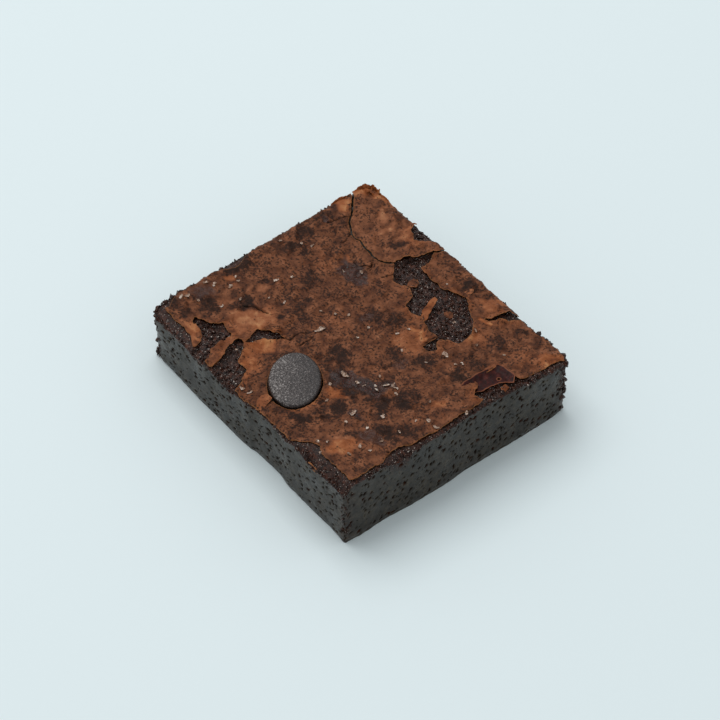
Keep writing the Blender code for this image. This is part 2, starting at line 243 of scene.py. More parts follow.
def near_corner(x, y, corner):
    """1 at the corner, falling to 0 at CORNER_REACH from it."""
    return smooth_step(1.0 - np.hypot(x - corner[0] * LENGTH / 2, y - corner[1] * WIDTH / 2) / CORNER_REACH)


def shoulder_share(x, y):
    """1 on the outer edge of the torn south shoulder and the east gouge, falling to 0 at their inner lines."""
    south, east, _, _ = from_sides(x, y)
    start, full, _, width = SHOULDER
    shoulder = smooth_step((x - start) / (full - start)) * (1.0 - smooth_step(south / width)) ** 1.5
    middle, half_length, _, gouge_width = GOUGE
    gouge = smooth_step(1.0 - np.abs(y - middle) / half_length) * (1.0 - smooth_step(east / gouge_width))
    return shoulder, gouge


def off_cut_sides(x, y):
    """Distance inward from the line where the crust gives out along the cut sides; the broken shoulder and gouge,
    and the crumbled west margin, push it in."""
    south, east, north, west = from_sides(x, y)
    shoulder_line = SHOULDER[3] * 0.75 * smooth_step((x - SHOULDER[0] + 3.0) / (SHOULDER[1] - SHOULDER[0] + 1.0))
    shoulder_line = shoulder_line + 1.6 * smooth_step(1.0 - np.abs(x - 23.5) / 4.5)
    south = south - shoulder_line - 2.6 * smooth_step((-21.0 - x) / 7.0)
    east = east - 0.9 - GOUGE[3] * 0.6 * smooth_step(1.0 - np.abs(y - GOUGE[0]) / GOUGE[1])
    west = west - 2.2 * smooth_step(1.0 - np.abs(y + 8.5) / 6.5) - 2.0 * smooth_step((-25.0 - y) / 5.0)
    north = north - 0.5 * smooth_step(1.0 - np.abs(x - 25.0) / 7.0)
    return np.minimum.reduce([south, east, north, west]) - CRUST_REACH


def slab_height(x, y):
    """Height of the whole top: a Coons patch over the four edge profiles, slow swells, the mound behind the
    button, rounded upper edges, and the torn shoulder, gouge and corners."""
    u, v = np.clip(x / LENGTH + 0.5, 0.0, 1.0), np.clip(y / WIDTH + 0.5, 0.0, 1.0)
    z = along_edge(SOUTH_EDGE, u) * (1 - v) + along_edge(NORTH_EDGE, u) * v
    z = z + along_edge(WEST_EDGE, v) * (1 - u) + along_edge(EAST_EDGE, v) * u
    z -= (SOUTH_EDGE[1][0] * (1 - u) + SOUTH_EDGE[1][-1] * u) * (1 - v)
    z -= (NORTH_EDGE[1][0] * (1 - u) + NORTH_EDGE[1][-1] * u) * v
    z += 0.24 * crumple(x, y, 0.0, 11.0, seed=3)
    far = BUTTON_CENTRE[:2] - 0.9 * BUTTON_HALF_LONG * np.array([math.cos(BUTTON_HEADING), math.sin(BUTTON_HEADING)])
    z += MOUND_RISE * np.exp(-((x - far[0]) ** 2 + (y - far[1]) ** 2) / MOUND_REACH**2)
    inward = np.minimum.reduce(from_sides(x, y))
    z -= 0.5 * (1.0 - smooth_step(inward / 1.5)) ** 2
    shoulder, gouge = shoulder_share(x, y)
    z -= SHOULDER[2] * shoulder + GOUGE[2] * gouge
    for corner in CORNERS:
        z -= corner[4] * near_corner(x, y, corner)
    return z


def off_bare_ground(x, y):
    """Distance from the nearest bare patch, negative inside it."""
    nearest = np.full(np.shape(x), 1e9)
    for outline in BARE_OUTLINES:
        nearest = np.minimum(nearest, from_line(x, y, outline, closed=True))
    return nearest


def crumb_height(x, y):
    """Height of the crumb under the crust: lower and grainy in the bare patches, grainy on the torn edges, and
    dished under the button so that it clears the button's underside."""
    off_bare = off_bare_ground(x, y)
    bare = smooth_step(-off_bare / 0.7)
    torn = smooth_step((1.3 - np.minimum(off_bare, off_cut_sides(x, y))) / 0.6)
    lump, _ = scattered(x, y, (1.2, 1.2), seed=21)
    fine_lump, _ = scattered(x, y, (0.95, 0.95), seed=22)
    grain = 1.1 * (0.55 - lump) + 0.8 * (0.5 - fine_lump) + 0.3 * crumple(x, y, 0.0, 2.2, seed=23, octaves=3)
    z = slab_height(x, y) - CRUMB_BELOW_CRUST - BARE_DEPTH * bare * (0.8 + 0.5 * crumple(x, y, 0.0, 5.0, seed=24))
    z = z + TORN_GRAIN * grain * (0.15 + 0.85 * torn)
    z = z - 0.7 * smooth_step(1.0 - np.abs(from_line(x, y, BACK_PLATE, closed=True)) / 0.8)
    away = in_button_plan(x, y)
    under_button = BUTTON_CENTRE[2] - BUTTON_THICK - 0.25 - math.tan(BUTTON_LEAN) * away[0]
    return np.where(away[1] < 1.04, np.minimum(z, under_button), z), torn


def in_button_plan(x, y):
    """Distance down the button's slope from its middle, and the share of the way out to its rim."""
    dx, dy = x - BUTTON_CENTRE[0], y - BUTTON_CENTRE[1]
    down = dx * math.cos(BUTTON_HEADING) + dy * math.sin(BUTTON_HEADING)
    across = dy * math.cos(BUTTON_HEADING) - dx * math.sin(BUTTON_HEADING)
    share = np.hypot(down / (BUTTON_HALF_LONG * math.cos(BUTTON_LEAN)), across / BUTTON_HALF_ACROSS)
    return down, share


def side_pits(along, height, faces_east):
    """Depth share of the knife-opened bubbles on a side: long ovals in a frame turned by the pits' slant, about
    40 degrees on the east side and 20 on the others, each with its own size; a third of the cells hold none."""
    slant = np.radians(np.where(faces_east > 0.5, 38.0, -18.0))
    turned_along = np.cos(slant) * along + np.sin(slant) * height
    turned_up = np.cos(slant) * height - np.sin(slant) * along
    turned_up = turned_up + 0.25 * crumple(along, height, 0.0, 1.6, seed=31)
    away, number = scattered(turned_along, turned_up, PIT_SPACING, seed=32)
    size = np.where(number > 0.62, 0.10 + 0.22 * number, 0.0)
    fine_away, fine_number = scattered(turned_along, turned_up, (0.95, 0.6), seed=33)
    fine_size = np.where(fine_number > 0.6, 0.08 + 0.18 * fine_number, 0.0)
    large = smooth_step((size - away) / 0.14)
    small = 0.55 * smooth_step((fine_size - fine_away) / 0.16)
    return np.maximum(large, small), number


def quads(grid):
    """Corner numbers of the cells of a two-way array of point numbers, anticlockwise in its own directions."""
    return np.stack([grid[:-1, :-1], grid[1:, :-1], grid[1:, 1:], grid[:-1, 1:]], axis=-1).reshape(-1, 4)


def crumb_surface():
    """Top grid over the plan, side rows hung from its outermost ring, and rings drawn in across the underside.

    A side point is the rim point moved in along the rim's normal by lean, unevenness, foot tuck, chipped corners
    and pits; the underside shrinks towards the middle and ends in one flat face."""
    u, v = np.meshgrid(
        np.linspace(-1, 1, CRUMB_CELLS[0] + 1), np.linspace(-1, 1, CRUMB_CELLS[1] + 1), indexing="ij"
    )
    x, y = plan(u, v)
    z, torn = crumb_height(x, y)
    top = np.stack([x, y, z], axis=-1).reshape(-1, 3)
    number = np.arange(x.size).reshape(x.shape)
    ring = np.concatenate([number[:-1, 0], number[-1, :-1], number[:0:-1, -1], number[0, :0:-1]])
    rim = top[ring]
    tangent = np.roll(rim, -2, axis=0) - np.roll(rim, 2, axis=0)
    outward = np.stack([tangent[:, 1], -tangent[:, 0]], axis=1)
    outward /= np.linalg.norm(outward, axis=1, keepdims=True)
    along = np.cumsum(np.linalg.norm(rim[:, :2] - np.roll(rim[:, :2], 1, axis=0), axis=1))
    faces_east = np.clip(outward[:, 0], 0.0, 1.0)

    share = np.linspace(0.0, 1.0, SIDE_ROWS + 1)[:, None]
    side_x, side_y = np.broadcast_to(rim[:, 0], (SIDE_ROWS + 1, len(rim))), np.broadcast_to(
        rim[:, 1], (SIDE_ROWS + 1, len(rim))
    )
    side_z = rim[:, 2] * (1.0 - share)
    lean = SIDE_LEAN + (EAST_LEAN - SIDE_LEAN) * faces_east
    pulled = lean * (1.0 - share) + FOOT_TUCK * smooth_step((share - 0.9) / 0.1)
    pulled = pulled + SIDE_UNEVENNESS * (0.5 + 0.5 * crumple(side_x, side_y, side_z, 9.0, seed=41))
    pulled = pulled + 0.10 * crumple(side_x, side_y, side_z, 2.4, seed=42, octaves=3)
    crumbly = np.zeros(side_x.shape)
    for corner in CORNERS:
        near = near_corner(side_x, side_y, corner)
        pulled = pulled + corner[3] * near * smooth_step(share)
        crumbly = np.maximum(crumbly, near**1.5 * (0.25 + 0.75 * min(1.0, corner[3] + corner[4])))
    pits, pit_number = side_pits(np.broadcast_to(along, side_x.shape), side_z, faces_east)
    fade = smooth_step(share * 14.0) * smooth_step((1.0 - share) * 16.0)
    knobs, _ = scattered(along + 0.0 * side_z, side_z, (1.3, 1.3), seed=43)
    rough = crumple(side_x, side_y, side_z, 2.6, seed=44, octaves=3) + 0.9 * (0.5 - knobs)
    pulled = pulled + PIT_DEPTH * pits * fade * (1.0 - crumbly) - 0.75 * crumbly * rough
    gouge = shoulder_share(rim[:, 0], rim[:, 1])[1] * (1.0 + 0.6 * crumple(rim[:, 1], 0.0, 0.0, 2.0, seed=45))
    top_torn = smooth_step(1.0 - share * rim[:, 2] / (1.6 + 3.4 * gouge)) * torn.ravel()[ring]
    pulled = pulled + 0.7 * gouge * top_torn
    pulled = pulled - 0.25 * top_torn * rough
    pulled = pulled * smooth_step(share * 30.0 + 0.15)
    side = np.stack(
        [side_x - outward[:, 0] * pulled, side_y - outward[:, 1] * pulled, side_z], axis=-1
    )
    top[ring] = side[0]

    shrink = np.cos(np.linspace(0.0, 0.5 * math.pi, UNDERSIDE_ROWS + 2)[1:-1])[:, None]
    foot = side[-1]
    under = np.stack([foot[:, 0] * shrink, foot[:, 1] * shrink, np.zeros((UNDERSIDE_ROWS, len(foot)))], axis=-1)
    points = np.concatenate([top, side[1:].reshape(-1, 3), under.reshape(-1, 3)])

    rows = np.arange((SIDE_ROWS + UNDERSIDE_ROWS) * len(ring)).reshape(-1, len(ring)) + len(top)
    wall = np.concatenate([ring[None], rows])
    wall = np.concatenate([wall, wall[:, :1]], axis=1)
    faces = quads(number).tolist() + quads(wall.T)[:, ::-1].tolist() + [wall[-1, :0:-1].tolist()]
    none_under = np.zeros(under.shape[0] * under.shape[1])
    side_torn = np.maximum(crumbly, top_torn)[1:].ravel()
    facts = dict(
        torn=np.concatenate([torn.ravel(), side_torn, none_under]),
        pit=np.concatenate([np.zeros(x.size), (pits * fade * (1.0 - crumbly))[1:].ravel(), none_under]),
        ruddy=np.concatenate([0.3 + 0.0 * x.ravel(), (pit_number + 0.0 * side_z)[1:].ravel(), none_under]),
    )
    return points, faces, facts


def add_piece(name, points, faces, facts, material, sharp=50.0):
    """One smooth-shaded mesh object at the origin from points in millimetres, with named numbers on its points."""
    mesh = bpy.data.meshes.new(name)
    mesh.from_pydata((points * MM).tolist(), [], faces)
    for key, values in facts.items():
        mesh.attributes.new(key, "FLOAT", "POINT").data.foreach_set("value", values.astype(np.float32))
    mesh.materials.append(material)
    mesh.shade_smooth()
    mesh.set_sharp_from_angle(angle=math.radians(sharp))
    piece = bpy.data.objects.new(name, mesh)
    bpy.context.collection.objects.link(piece)
    return piece


def shade(hex_colour):
    """Linear red, green, blue and 1 from an sRGB hex value."""
    values = [int(hex_colour[i : i + 2], 16) / 255 for i in (0, 2, 4)]
    return tuple(v / 12.92 if v <= 0.04045 else ((v + 0.055) / 1.055) ** 2.4 for v in values) + (1.0,)


def node(tree, kind, inputs=None, stops=None, **settings):
    """Add a node: settings are its own properties, inputs maps sockets to values or to outputs to link from, and
    stops are a ramp's (place, colour) pairs."""
    made = tree.nodes.new(kind)
    for key, value in settings.items():
        setattr(made, key, value)
    for key, value in (inputs or {}).items():
        if isinstance(value, bpy.types.NodeSocket):
            tree.links.new(value, made.inputs[key])
        else:
            made.inputs[key].default_value = value
    for k, (place, colour) in enumerate(stops or ()):
        ramp = made.color_ramp.elements
        stop = ramp[k] if k < 2 else ramp.new(place)
        stop.position = place
        stop.color = shade(colour) if isinstance(colour, str) else (colour, colour, colour, 1.0)
    return made


def new_material(name):
    """An empty node material, with its tree, its Principled surface and its Object coordinates."""
    material = bpy.data.materials.new(name)
    material.use_nodes = True
    tree = material.node_tree
    surface = tree.nodes["Principled BSDF"]
    where = node(tree, "ShaderNodeTexCoord").outputs["Object"]
    return material, tree, surface, where


def per_mm(length):
    """Texture scale for features of a length in millimetres, on coordinates in metres."""
    return 1.0 / (length * MM)


# Baked fudge crumb: almost black cocoa crumb bound with butter and sugar. A knife leaves it smooth, so it takes a
# grey sheen from pale surroundings; torn crumb is browner, with painted glints: pale specks in its colour where
# moist grains would catch the light. Pits and pores are painted near black, as shade in the hollows.
fudge, tree, surface, where = new_material("moist_fudge_crumb")
torn = node(tree, "ShaderNodeAttribute", attribute_name="torn").outputs["Fac"]
pit = node(tree, "ShaderNodeAttribute", attribute_name="pit").outputs["Fac"]
ruddy = node(tree, "ShaderNodeAttribute", attribute_name="ruddy").outputs["Fac"]
grain = node(
    tree, "ShaderNodeTexNoise", {"Vector": where, "Scale": per_mm(1.1), "Detail": 6.0, "Roughness": 0.7}
).outputs["Fac"]
cloud = node(
    tree, "ShaderNodeTexNoise", {"Vector": where, "Scale": per_mm(7.0), "Detail": 3.0}
).outputs["Fac"]
cut_colour = node(
    tree, "ShaderNodeValToRGB", {"Fac": grain}, stops=((0.30, "120e0a"), (0.58, "383026"), (0.78, "62573f"))
).outputs["Color"]
stain = node(
    tree, "ShaderNodeTexNoise", {"Vector": where, "Scale": per_mm(3.2), "Detail": 4.0, "Roughness": 0.6}
).outputs["Fac"]
stain = node(
    tree, "ShaderNodeMapRange", {"Value": stain, "From Min": 0.44, "From Max": 0.62, "To Max": 0.75}
).outputs["Result"]
torn_colour = node(
    tree, "ShaderNodeValToRGB", {"Fac": grain}, stops=((0.33, "120705"), (0.50, "2e170f"), (0.70, "5a3222"))
).outputs["Color"]
# Painted shade: the knife-opened pits and pores are painted near black, as shade in the hollows, some with a reddish
# tint
pit_shade_colour = node(
    tree, "ShaderNodeValToRGB", {"Fac": ruddy}, stops=((0.55, "0a0705"), (0.90, "1c0d08"), (0.97, "35150d"))
).outputs["Color"]
MIX_BY, MIX_FROM, MIX_TO, MIXED = 0, 6, 7, 2  # a colour mix node's sockets
cut_colour = node(
    tree, "ShaderNodeMix", {MIX_BY: stain, MIX_FROM: cut_colour, MIX_TO: shade("1a140e")}, data_type="RGBA"
).outputs[MIXED]
colour = node(tree, "ShaderNodeMix", {MIX_BY: torn, MIX_FROM: cut_colour, MIX_TO: torn_colour}, data_type="RGBA")
wander = node(tree, "ShaderNodeTexNoise", {"Vector": where, "Scale": per_mm(0.9), "Detail": 2.0}).outputs["Color"]
shifted = node(
    tree, "ShaderNodeVectorMath", {0: wander, 1: (0.45 * MM,) * 3, 2: where}, operation="MULTIPLY_ADD"
).outputs["Vector"]
slanting = node(
    tree,
    "ShaderNodeMapping",
    {"Vector": shifted, "Rotation": (0.0, -0.55, 0.79), "Scale": (1.6, 1.0, 1.0)},
    vector_type="TEXTURE",
).outputs["Vector"]
bubble = node(tree, "ShaderNodeTexVoronoi", {"Vector": slanting, "Scale": per_mm(0.66)})
chosen = node(tree, "ShaderNodeSeparateColor", {"Color": bubble.outputs["Color"]}).outputs["Red"]
small_pit = node(
    tree, "ShaderNodeMath", {0: chosen, 1: 0.44, 2: -0.17}, operation="MULTIPLY_ADD"
).outputs["Value"]
small_pit = node(
    tree, "ShaderNodeMath", {0: small_pit, 1: bubble.outputs["Distance"]}, operation="SUBTRACT"
).outputs["Value"]
small_pit = node(
    tree, "ShaderNodeMapRange", {"Value": small_pit, "From Min": 0.0, "From Max": 0.09}
).outputs["Result"]
pore = node(
    tree, "ShaderNodeMapRange", {"Value": grain, "From Min": 0.64, "From Max": 0.70, "To Max": 0.8}
).outputs["Result"]
small_pit = node(tree, "ShaderNodeMath", {0: small_pit, 1: pore}, operation="MAXIMUM").outputs["Value"]
uncut = node(tree, "ShaderNodeMath", {0: 1.0, 1: torn}, operation="SUBTRACT").outputs["Value"]
small_pit = node(tree, "ShaderNodeMath", {0: small_pit, 1: uncut}, operation="MULTIPLY").outputs["Value"]
hollow = node(tree, "ShaderNodeMath", {0: small_pit, 1: pit}, operation="MAXIMUM").outputs["Value"]
# Painted shade in the pits and pores
colour = node(
    tree, "ShaderNodeMix", {MIX_BY: hollow, MIX_FROM: colour.outputs[MIXED], MIX_TO: pit_shade_colour}, data_type="RGBA"
)
rough = node(
    tree,
    "ShaderNodeMapRange",
    {"Value": cloud, "From Min": 0.35, "From Max": 0.65, "To Min": 0.26, "To Max": 0.50},
).outputs["Result"]
fine_grain = node(
    tree, "ShaderNodeTexNoise", {"Vector": where, "Scale": per_mm(0.35), "Detail": 4.0, "Roughness": 0.6}
).outputs["Fac"]
# Painted glints: pale specks mixed into the torn crumb's colour where a fine noise peaks, standing in for light
# caught by moist grains
painted_glint = node(
    tree, "ShaderNodeTexNoise", {"Vector": where, "Scale": per_mm(0.33), "Detail": 1.0}
).outputs["Fac"]
painted_glint = node(
    tree, "ShaderNodeMapRange", {"Value": painted_glint, "From Min": 0.67, "From Max": 0.73, "To Max": 0.9}
).outputs["Result"]
painted_glint = node(tree, "ShaderNodeMath", {0: painted_glint, 1: torn}, operation="MULTIPLY").outputs["Value"]
colour = node(
    tree,
    "ShaderNodeMix",
    {MIX_BY: painted_glint, MIX_FROM: colour.outputs[MIXED], MIX_TO: shade("c9bdb2")},
    data_type="RGBA",
)
relief = node(
    tree, "ShaderNodeBump", {"Height": small_pit, "Strength": 0.8, "Distance": 0.3 * MM}, invert=True
).outputs["Normal"]
graininess = node(tree, "ShaderNodeMapRange", {"Value": torn, "To Min": 0.30, "To Max": 1.0}).outputs["Result"]
relief = node(
    tree, "ShaderNodeBump", {"Height": grain, "Normal": relief, "Strength": graininess, "Distance": 0.35 * MM}
).outputs["Normal"]
relief = node(
    tree, "ShaderNodeBump", {"Height": fine_grain, "Normal": relief, "Strength": graininess, "Distance": 0.14 * MM}
).outputs["Normal"]
gloss = node(tree, "ShaderNodeMapRange", {"Value": torn, "To Min": 0.44, "To Max": 0.26}).outputs["Result"]
gloss = node(tree, "ShaderNodeMath", {0: gloss, 1: hollow}, operation="SUBTRACT", use_clamp=True).outputs["Value"]
tree.links.new(gloss, surface.inputs["Specular IOR Level"])
rough = node(tree, "ShaderNodeMath", {0: torn, 1: -0.14, 2: rough}, operation="MULTIPLY_ADD").outputs["Value"]
for socket, source in (("Base Color", colour.outputs[MIXED]), ("Roughness", rough), ("Normal", relief)):
    tree.links.new(source, surface.inputs[socket])
surface.inputs["IOR"].default_value = 1.48

crumb_points, crumb_faces, crumb_facts = crumb_surface()
crumb = add_piece("fudge_crumb", crumb_points, crumb_faces, crumb_facts, fudge)
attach(crumb, "root")
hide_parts("brownie")

# ---------------------------------------------------------------------------------------------------------------
# Crust. Sugar and egg white rise to the top in the oven and dry to a brittle, papery skin, which wrinkles, cracks
# and curls up where it tears. It lies on the crumb in two plates with a long crack between them.
# ---------------------------------------------------------------------------------------------------------------
CRUST_GRID = 0.36
CRUST_THICK, CRUST_THIN = 0.34, 0.13
CRACK_GAP = 0.5
CRACKS = (
    ((-33.7, 25.4), (-34.6, 22.4), (-35.0, 21.0), (-35.6, 18.9)),
    ((-18.1, 19.9), (-16.6, 17.4), (-18.1, 15.8), (-19.4, 15.2), (-20.6, 15.1)),
    ((-10.2, 19.9), (-12.0, 17.2)),
    ((-10.3, -14.5), (-9.2, -13.8), (-9.9, -11.9), (-9.5, -10.6), (-8.4, -8.9)),
    ((-6.4, -9.2), (-6.0, -11.5), (-6.3, -14.2)),
    ((36.9, -20.1), (38.0, -20.6), (39.1, -22.2), (39.9, -23.8)),
    ((-29.0, 21.0), (-27.5, 18.4), (-27.9, 16.8)),
    ((13.6, 14.6), (12.6, 12.6), (13.4, 10.4)),
    ((4.6, -28.2), (3.2, -31.0), (4.0, -34.2)),
    ((20.0, 20.2), (23.0, 19.0), (24.4, 16.4)),
    ((-20.2, -12.5), (-24.0, -13.2), (-26.0, -15.6)),
)
CRACK_HALF_WIDTH = 0.3
DARK_BLOTCHES = (  # x, y, half length, half width, turn in degrees, strength
    (-37.8, 12.4, 4, 3, 0, 0.8), (-33.0, 7.6, 6, 2.4, 50, 0.8), (-22.6, 3.6, 4.5, 3, 0, 0.6),
    (-27.3, -15.2, 4.5, 3, 115, 0.8), (-32, -22, 4.5, 3, 20, 0.8), (-39.0, -8, 3, 6, 0, 1.0),
    (-29.5, -6, 3, 2.2, 0, 0.7), (3, -8, 6, 3, -10, 0.9), (8, -14, 5, 3, -20, 0.9), (14.5, -12.8, 5, 3, 0, 1.0),
    (22.4, -11, 4.5, 3, 0, 0.9), (26, -7.2, 4.5, 3, 20, 0.9), (35.2, -11.5, 3.5, 3, 0, 0.7),
    (35.2, -16, 3.4, 2.6, 0, 0.7), (30.8, -16.5, 3.4, 2.6, 0, 0.8), (17.2, -18.9, 3.5, 3, 0, 0.9),
    (17.2, -23.4, 3.5, 2.6, 0, 0.8), (27, -22, 3.4, 2.4, 0, 0.7), (13, -29, 4, 2.6, 0, 0.8),
    (25.5, -4, 4, 2.4, 0, 0.7), (0, 7, 4, 2.8, 0, 0.7), (2, 11, 4, 2.8, 30, 0.7), (11, 3, 4, 2.6, 0, 0.6),
    (20, 7, 4, 2.6, 0, 0.6), (27, 10, 4, 2.8, 0, 0.7), (27, 17, 4, 2.6, 0, 0.6), (26, 25, 4.2, 3.2, 0, 0.6),
    (-15, -6, 6, 3, 0, 0.7), (-17.6, 27.3, 2.6, 2.2, 0, 1.0), (-20.9, 25, 1.7, 1.4, 0, 0.8),
    (5, 32, 2.8, 2.6, 0, 0.8), (24.8, 32.6, 2, 2, 0, 0.8), (23, -18.3, 1.6, 1.4, 0, 1.0),
    (12.2, -21.8, 2, 1.8, 0, 1.0), (-15.8, -10.3, 1.6, 1.2, 0, 1.0), (-3.7, 8.5, 1.6, 1.2, 0, 1.0),
    (-0.9, 6.6, 1.5, 1.2, 0, 1.0), (-21.4, 0.2, 1.6, 1.2, 0, 1.0), (-17, -2.5, 1.6, 1.2, 0, 1.0),
    (-36.0, -28.0, 6, 3.5, 0, 0.6), (-4, -20, 4, 6, 0, 0.5), (16, -8.5, 5, 3, -10, 0.9), (-38.4, 20, 3, 5, 0, 0.6),
)
# Lighter tan and orange blotches: partly the skin's own lighter tone, partly painted light where lifted plates face
# the light, as on both sides of the leaf gap
LIGHT_AND_LIT_BLOTCHES = (  # the same, then how orange it is, 0 for a pinkish tan
    (-29.0, 32.3, 4.5, 1.1, 110, 0.8, 0.1), (-25.0, 29.5, 5.5, 1.3, 103, 0.8, 0.1), (-20.0, 30.5, 3, 2, 0, 0.4, 0.4),
    (9.8, 12.0, 5.5, 3.0, 0, 0.9, 0.7), (10.6, 7.5, 5, 4, 0, 0.6, 0.5), (8.8, 7.2, 2.4, 2.4, 0, 0.5, 0.0),
    (20.8, 22.5, 3, 4, 0, 0.7, 0.4), (13.5, 32.0, 3.6, 3.2, 0, 0.8, 0.5), (17.0, 26.6, 1.8, 1.8, 0, 0.9, 0.8),
    (37.5, 31.5, 4, 4, 0, 0.7, 0.8), (12.4, -16.5, 2.6, 4, 0, 0.7, 1.0), (28.6, -27.0, 2.4, 5, -20, 0.7, 0.9),
    (26.0, -25.6, 1.5, 3, -20, 0.7, 0.1), (-28, -8, 3.6, 2.2, 20, 0.8, 0.1), (-36, -12.5, 3, 2.2, 0, 0.7, 0.7),
    (33, -0.5, 3, 2.4, 0, 0.5, 0.8), (-20.4, -16.0, 8.5, 5.0, 60, 1.0, 0.35), (-12.0, -20.0, 3.4, 5.5, -20, 0.7, 0.9),
    (-10.0, -26.0, 3.6, 3.6, 0, 0.9, 0.7), (-27.5, -30.4, 7, 1.6, -3, 0.7, 0.5), (-38.5, 26.0, 3, 3, 0, 0.8, 0.8),
    (-38.6, 32.0, 3, 2.5, 0, 0.8, 0.8), (-33, 35, 3, 1.6, 0, 0.6, 0.8), (2, 19, 2, 4, -25, 0.4, 0.8),
    (-21.7, 14.1, 2, 1.4, 0, 0.8, 0.9), (-5, -1, 5, 3, 0, 0.25, 0.3), (-30, -18, 4, 2, 30, 0.3, 0.2),
    (33, 27, 5, 4, 0, 0.35, 0.5), (10, -25, 3, 5, 0, 0.3, 0.8), (-25, 10, 5, 4, 0, 0.25, 0.3),
)
MOIST_PLACES = (
    (-17.8, 12.5, 6.5, 3.6, -8, 1), (16.5, -8.8, 6, 4, 10, 1), (10.5, -11.0, 7.5, 2.6, -4, 1),
    (19.5, -5.4, 3.4, 1.8, 0, 1), (8, -14, 3.5, 2, 0, 0.7), (31, -20, 4, 2.2, 0, 0.5), (-35.9, 18.3, 1.4, 1.4, 0, 1),
    (22.0, -18.0, 3, 1.8, 0, 0.7), (-3, 5, 3, 2, 0, 0.5), (14.8, 1.5, 3, 2, 0, 0.4), (-36, -20, 3, 4, 0, 0.5),
)
BLISTERS = (  # x, y, radius, height
    (15.2, 33, 1.6, 0.7), (24.8, 32.6, 1.6, 0.6), (26.3, 28.3, 1.4, 0.4), (19.9, 14.4, 1.5, 0.5), (-2, 15, 1.5, 0.5),
    (8.8, 7.2, 2.4, 0.35), (20, 11.8, 1.9, 0.8), (-7.2, -6.2, 2.0, 0.6), (-32, 15, 2.4, 0.3), (33.5, 24, 2.0, 0.4),
    (-12.5, 5.5, 2.2, 0.3), (4.4, 1.0, 2.0, 0.35), (28.4, 3.2, 2.4, 0.3), (-30.0, -9.0, 2.6, 0.5),
)
DIAGONAL_RIDGE = ((-34.0, 5.0), (-31.5, 8.2), (-28.5, 12.0))


def strongest(x, y, spots):
    """Largest share of any of the oval spots at a point, each times its strength."""
    share = np.zeros(np.shape(x))
    for spot in spots:
        share = np.maximum(share, spot[5] * in_spot(x, y, spot))
    return share


def ragged(x, y, amount, seed):
    """Unevenness of a torn outline, in millimetres: a slow wander, a saw of small bites and a few deep ones."""
    bite, _ = scattered(x, y, (1.7, 1.7), seed=seed)
    return amount * (0.6 * crumple(x, y, 0.0, 3.2, seed=seed, octaves=3) + 0.7 * smooth_step(1.0 - bite / 0.55))


def main_crust_field(x, y):
    """Above 0 on the main plate: off the cut sides, the bare patches, the back plate and the button."""
    sides = off_cut_sides(x, y) - ragged(x, y, 0.32, seed=51)
    bare = off_bare_ground(x, y) - ragged(x, y, 0.38, seed=52)
    crack = from_line(x, y, BACK_PLATE, closed=True) - 0.5 * CRACK_GAP - ragged(x, y, 0.16, seed=53)
    button = (in_button_plan(x, y)[1] - 1.035) * BUTTON_HALF_ACROSS - ragged(x, y, 0.1, seed=54)
    return np.minimum.reduce([sides, bare, crack, button])


def back_plate_field(x, y):
    """Above 0 on the plate behind the crack."""
    sides = off_cut_sides(x, y) - ragged(x, y, 0.32, seed=51)
    bare = off_bare_ground(x, y) - ragged(x, y, 0.38, seed=52)
    crack = -from_line(x, y, BACK_PLATE, closed=True) - 0.5 * CRACK_GAP - ragged(x, y, 0.16, seed=55)
    return np.minimum.reduce([sides, bare, crack])


def blotted(x, y):
    """The point shifted by up to a few millimetres, so that oval spots take ragged, blot-like outlines."""
    east = 2.2 * crumple(x, y, 0.0, 4.0, seed=75, octaves=4)
    north = 2.2 * crumple(x, y, 0.0, 4.0, seed=76, octaves=4)
    return x + east, y + north


def crust_height(x, y, from_edge):
    """Top of the crust: the slab's own top with papery wrinkles, blisters, a low ridge, sunken cracks and moist
    places, and edges that curl up off the crumb beside the bare patches and the long crack."""
    z = slab_height(x, y) + 0.03
    z = z + 0.20 * crumple(x, y, 0.0, 5.0, seed=61) + 0.11 * crumple(x, y, 0.0, 1.7, seed=62, octaves=2)
    z = z + 0.24 * sum(smooth_step(0.5 + layer / 0.07) for layer in skin_layers(x, y))
    fold = 1.0 - np.abs(crumple(x, 1.3 * y, 0.0, 5.2, seed=63, octaves=2)) * 3.2
    z = z + 0.26 * smooth_step(fold) * smooth_step(0.5 + 2.0 * crumple(x, y, 0.0, 12.0, seed=64))
    speck, number = scattered(x, y, (1.25, 1.25), seed=65)
    z = z + 0.16 * smooth_step(1.0 - speck / 0.42) * (number > 0.45)
    for blister_x, blister_y, radius, rise in BLISTERS:
        z = z + rise * smooth_step(1.0 - np.hypot(x - blister_x, y - blister_y) / radius)
    z = z + 0.35 * smooth_step(1.0 - from_line(x, y, DIAGONAL_RIDGE, closed=False) / 1.6)
    crack = cracked(x, y)
    z = z - 0.42 * crack
    moist = strongest(*blotted(x, y), MOIST_PLACES)
    z = z - 0.30 * moist + 0.55 * moist * crumple(x, y, 0.0, 1.7, seed=66, octaves=2)
    torn_free = smooth_step(1.0 - off_bare_ground(x, y) / 2.6)
    curl = 0.5 + 1.6 * crumple(x, y, 0.0, 5.5, seed=67)
    z = z + 0.75 * np.clip(curl, 0.0, 1.3) * torn_free**2
    by_crack = smooth_step(1.0 - np.abs(from_line(x, y, BACK_PLATE, closed=True)) / 2.4)
    z = z + 0.16 * by_crack * (0.5 + 1.2 * crumple(x, y, 0.0, 6.0, seed=68))
    away, share = in_button_plan(x, y)
    hug = smooth_step(1.0 - np.abs(share - 1.06) / 0.16) * np.where(away > 0.0, 0.25, 0.8)
    z = z + 0.55 * hug * (0.7 + 0.6 * crumple(x, y, 0.0, 2.5, seed=69))
    return z - 0.10 * smooth_step(1.0 - from_edge / 0.5)


def skin_layers(x, y):
    """Two fields that cross 0 on the wandering edges of skins lying over one another."""
    first = crumple(x, y, 0.0, 8.0, seed=73, octaves=3) - 0.12
    second = crumple(0.7 * x + 0.7 * y, 0.6 * (y - x), 0.0, 6.0, seed=74, octaves=3) - 0.2
    return first, second


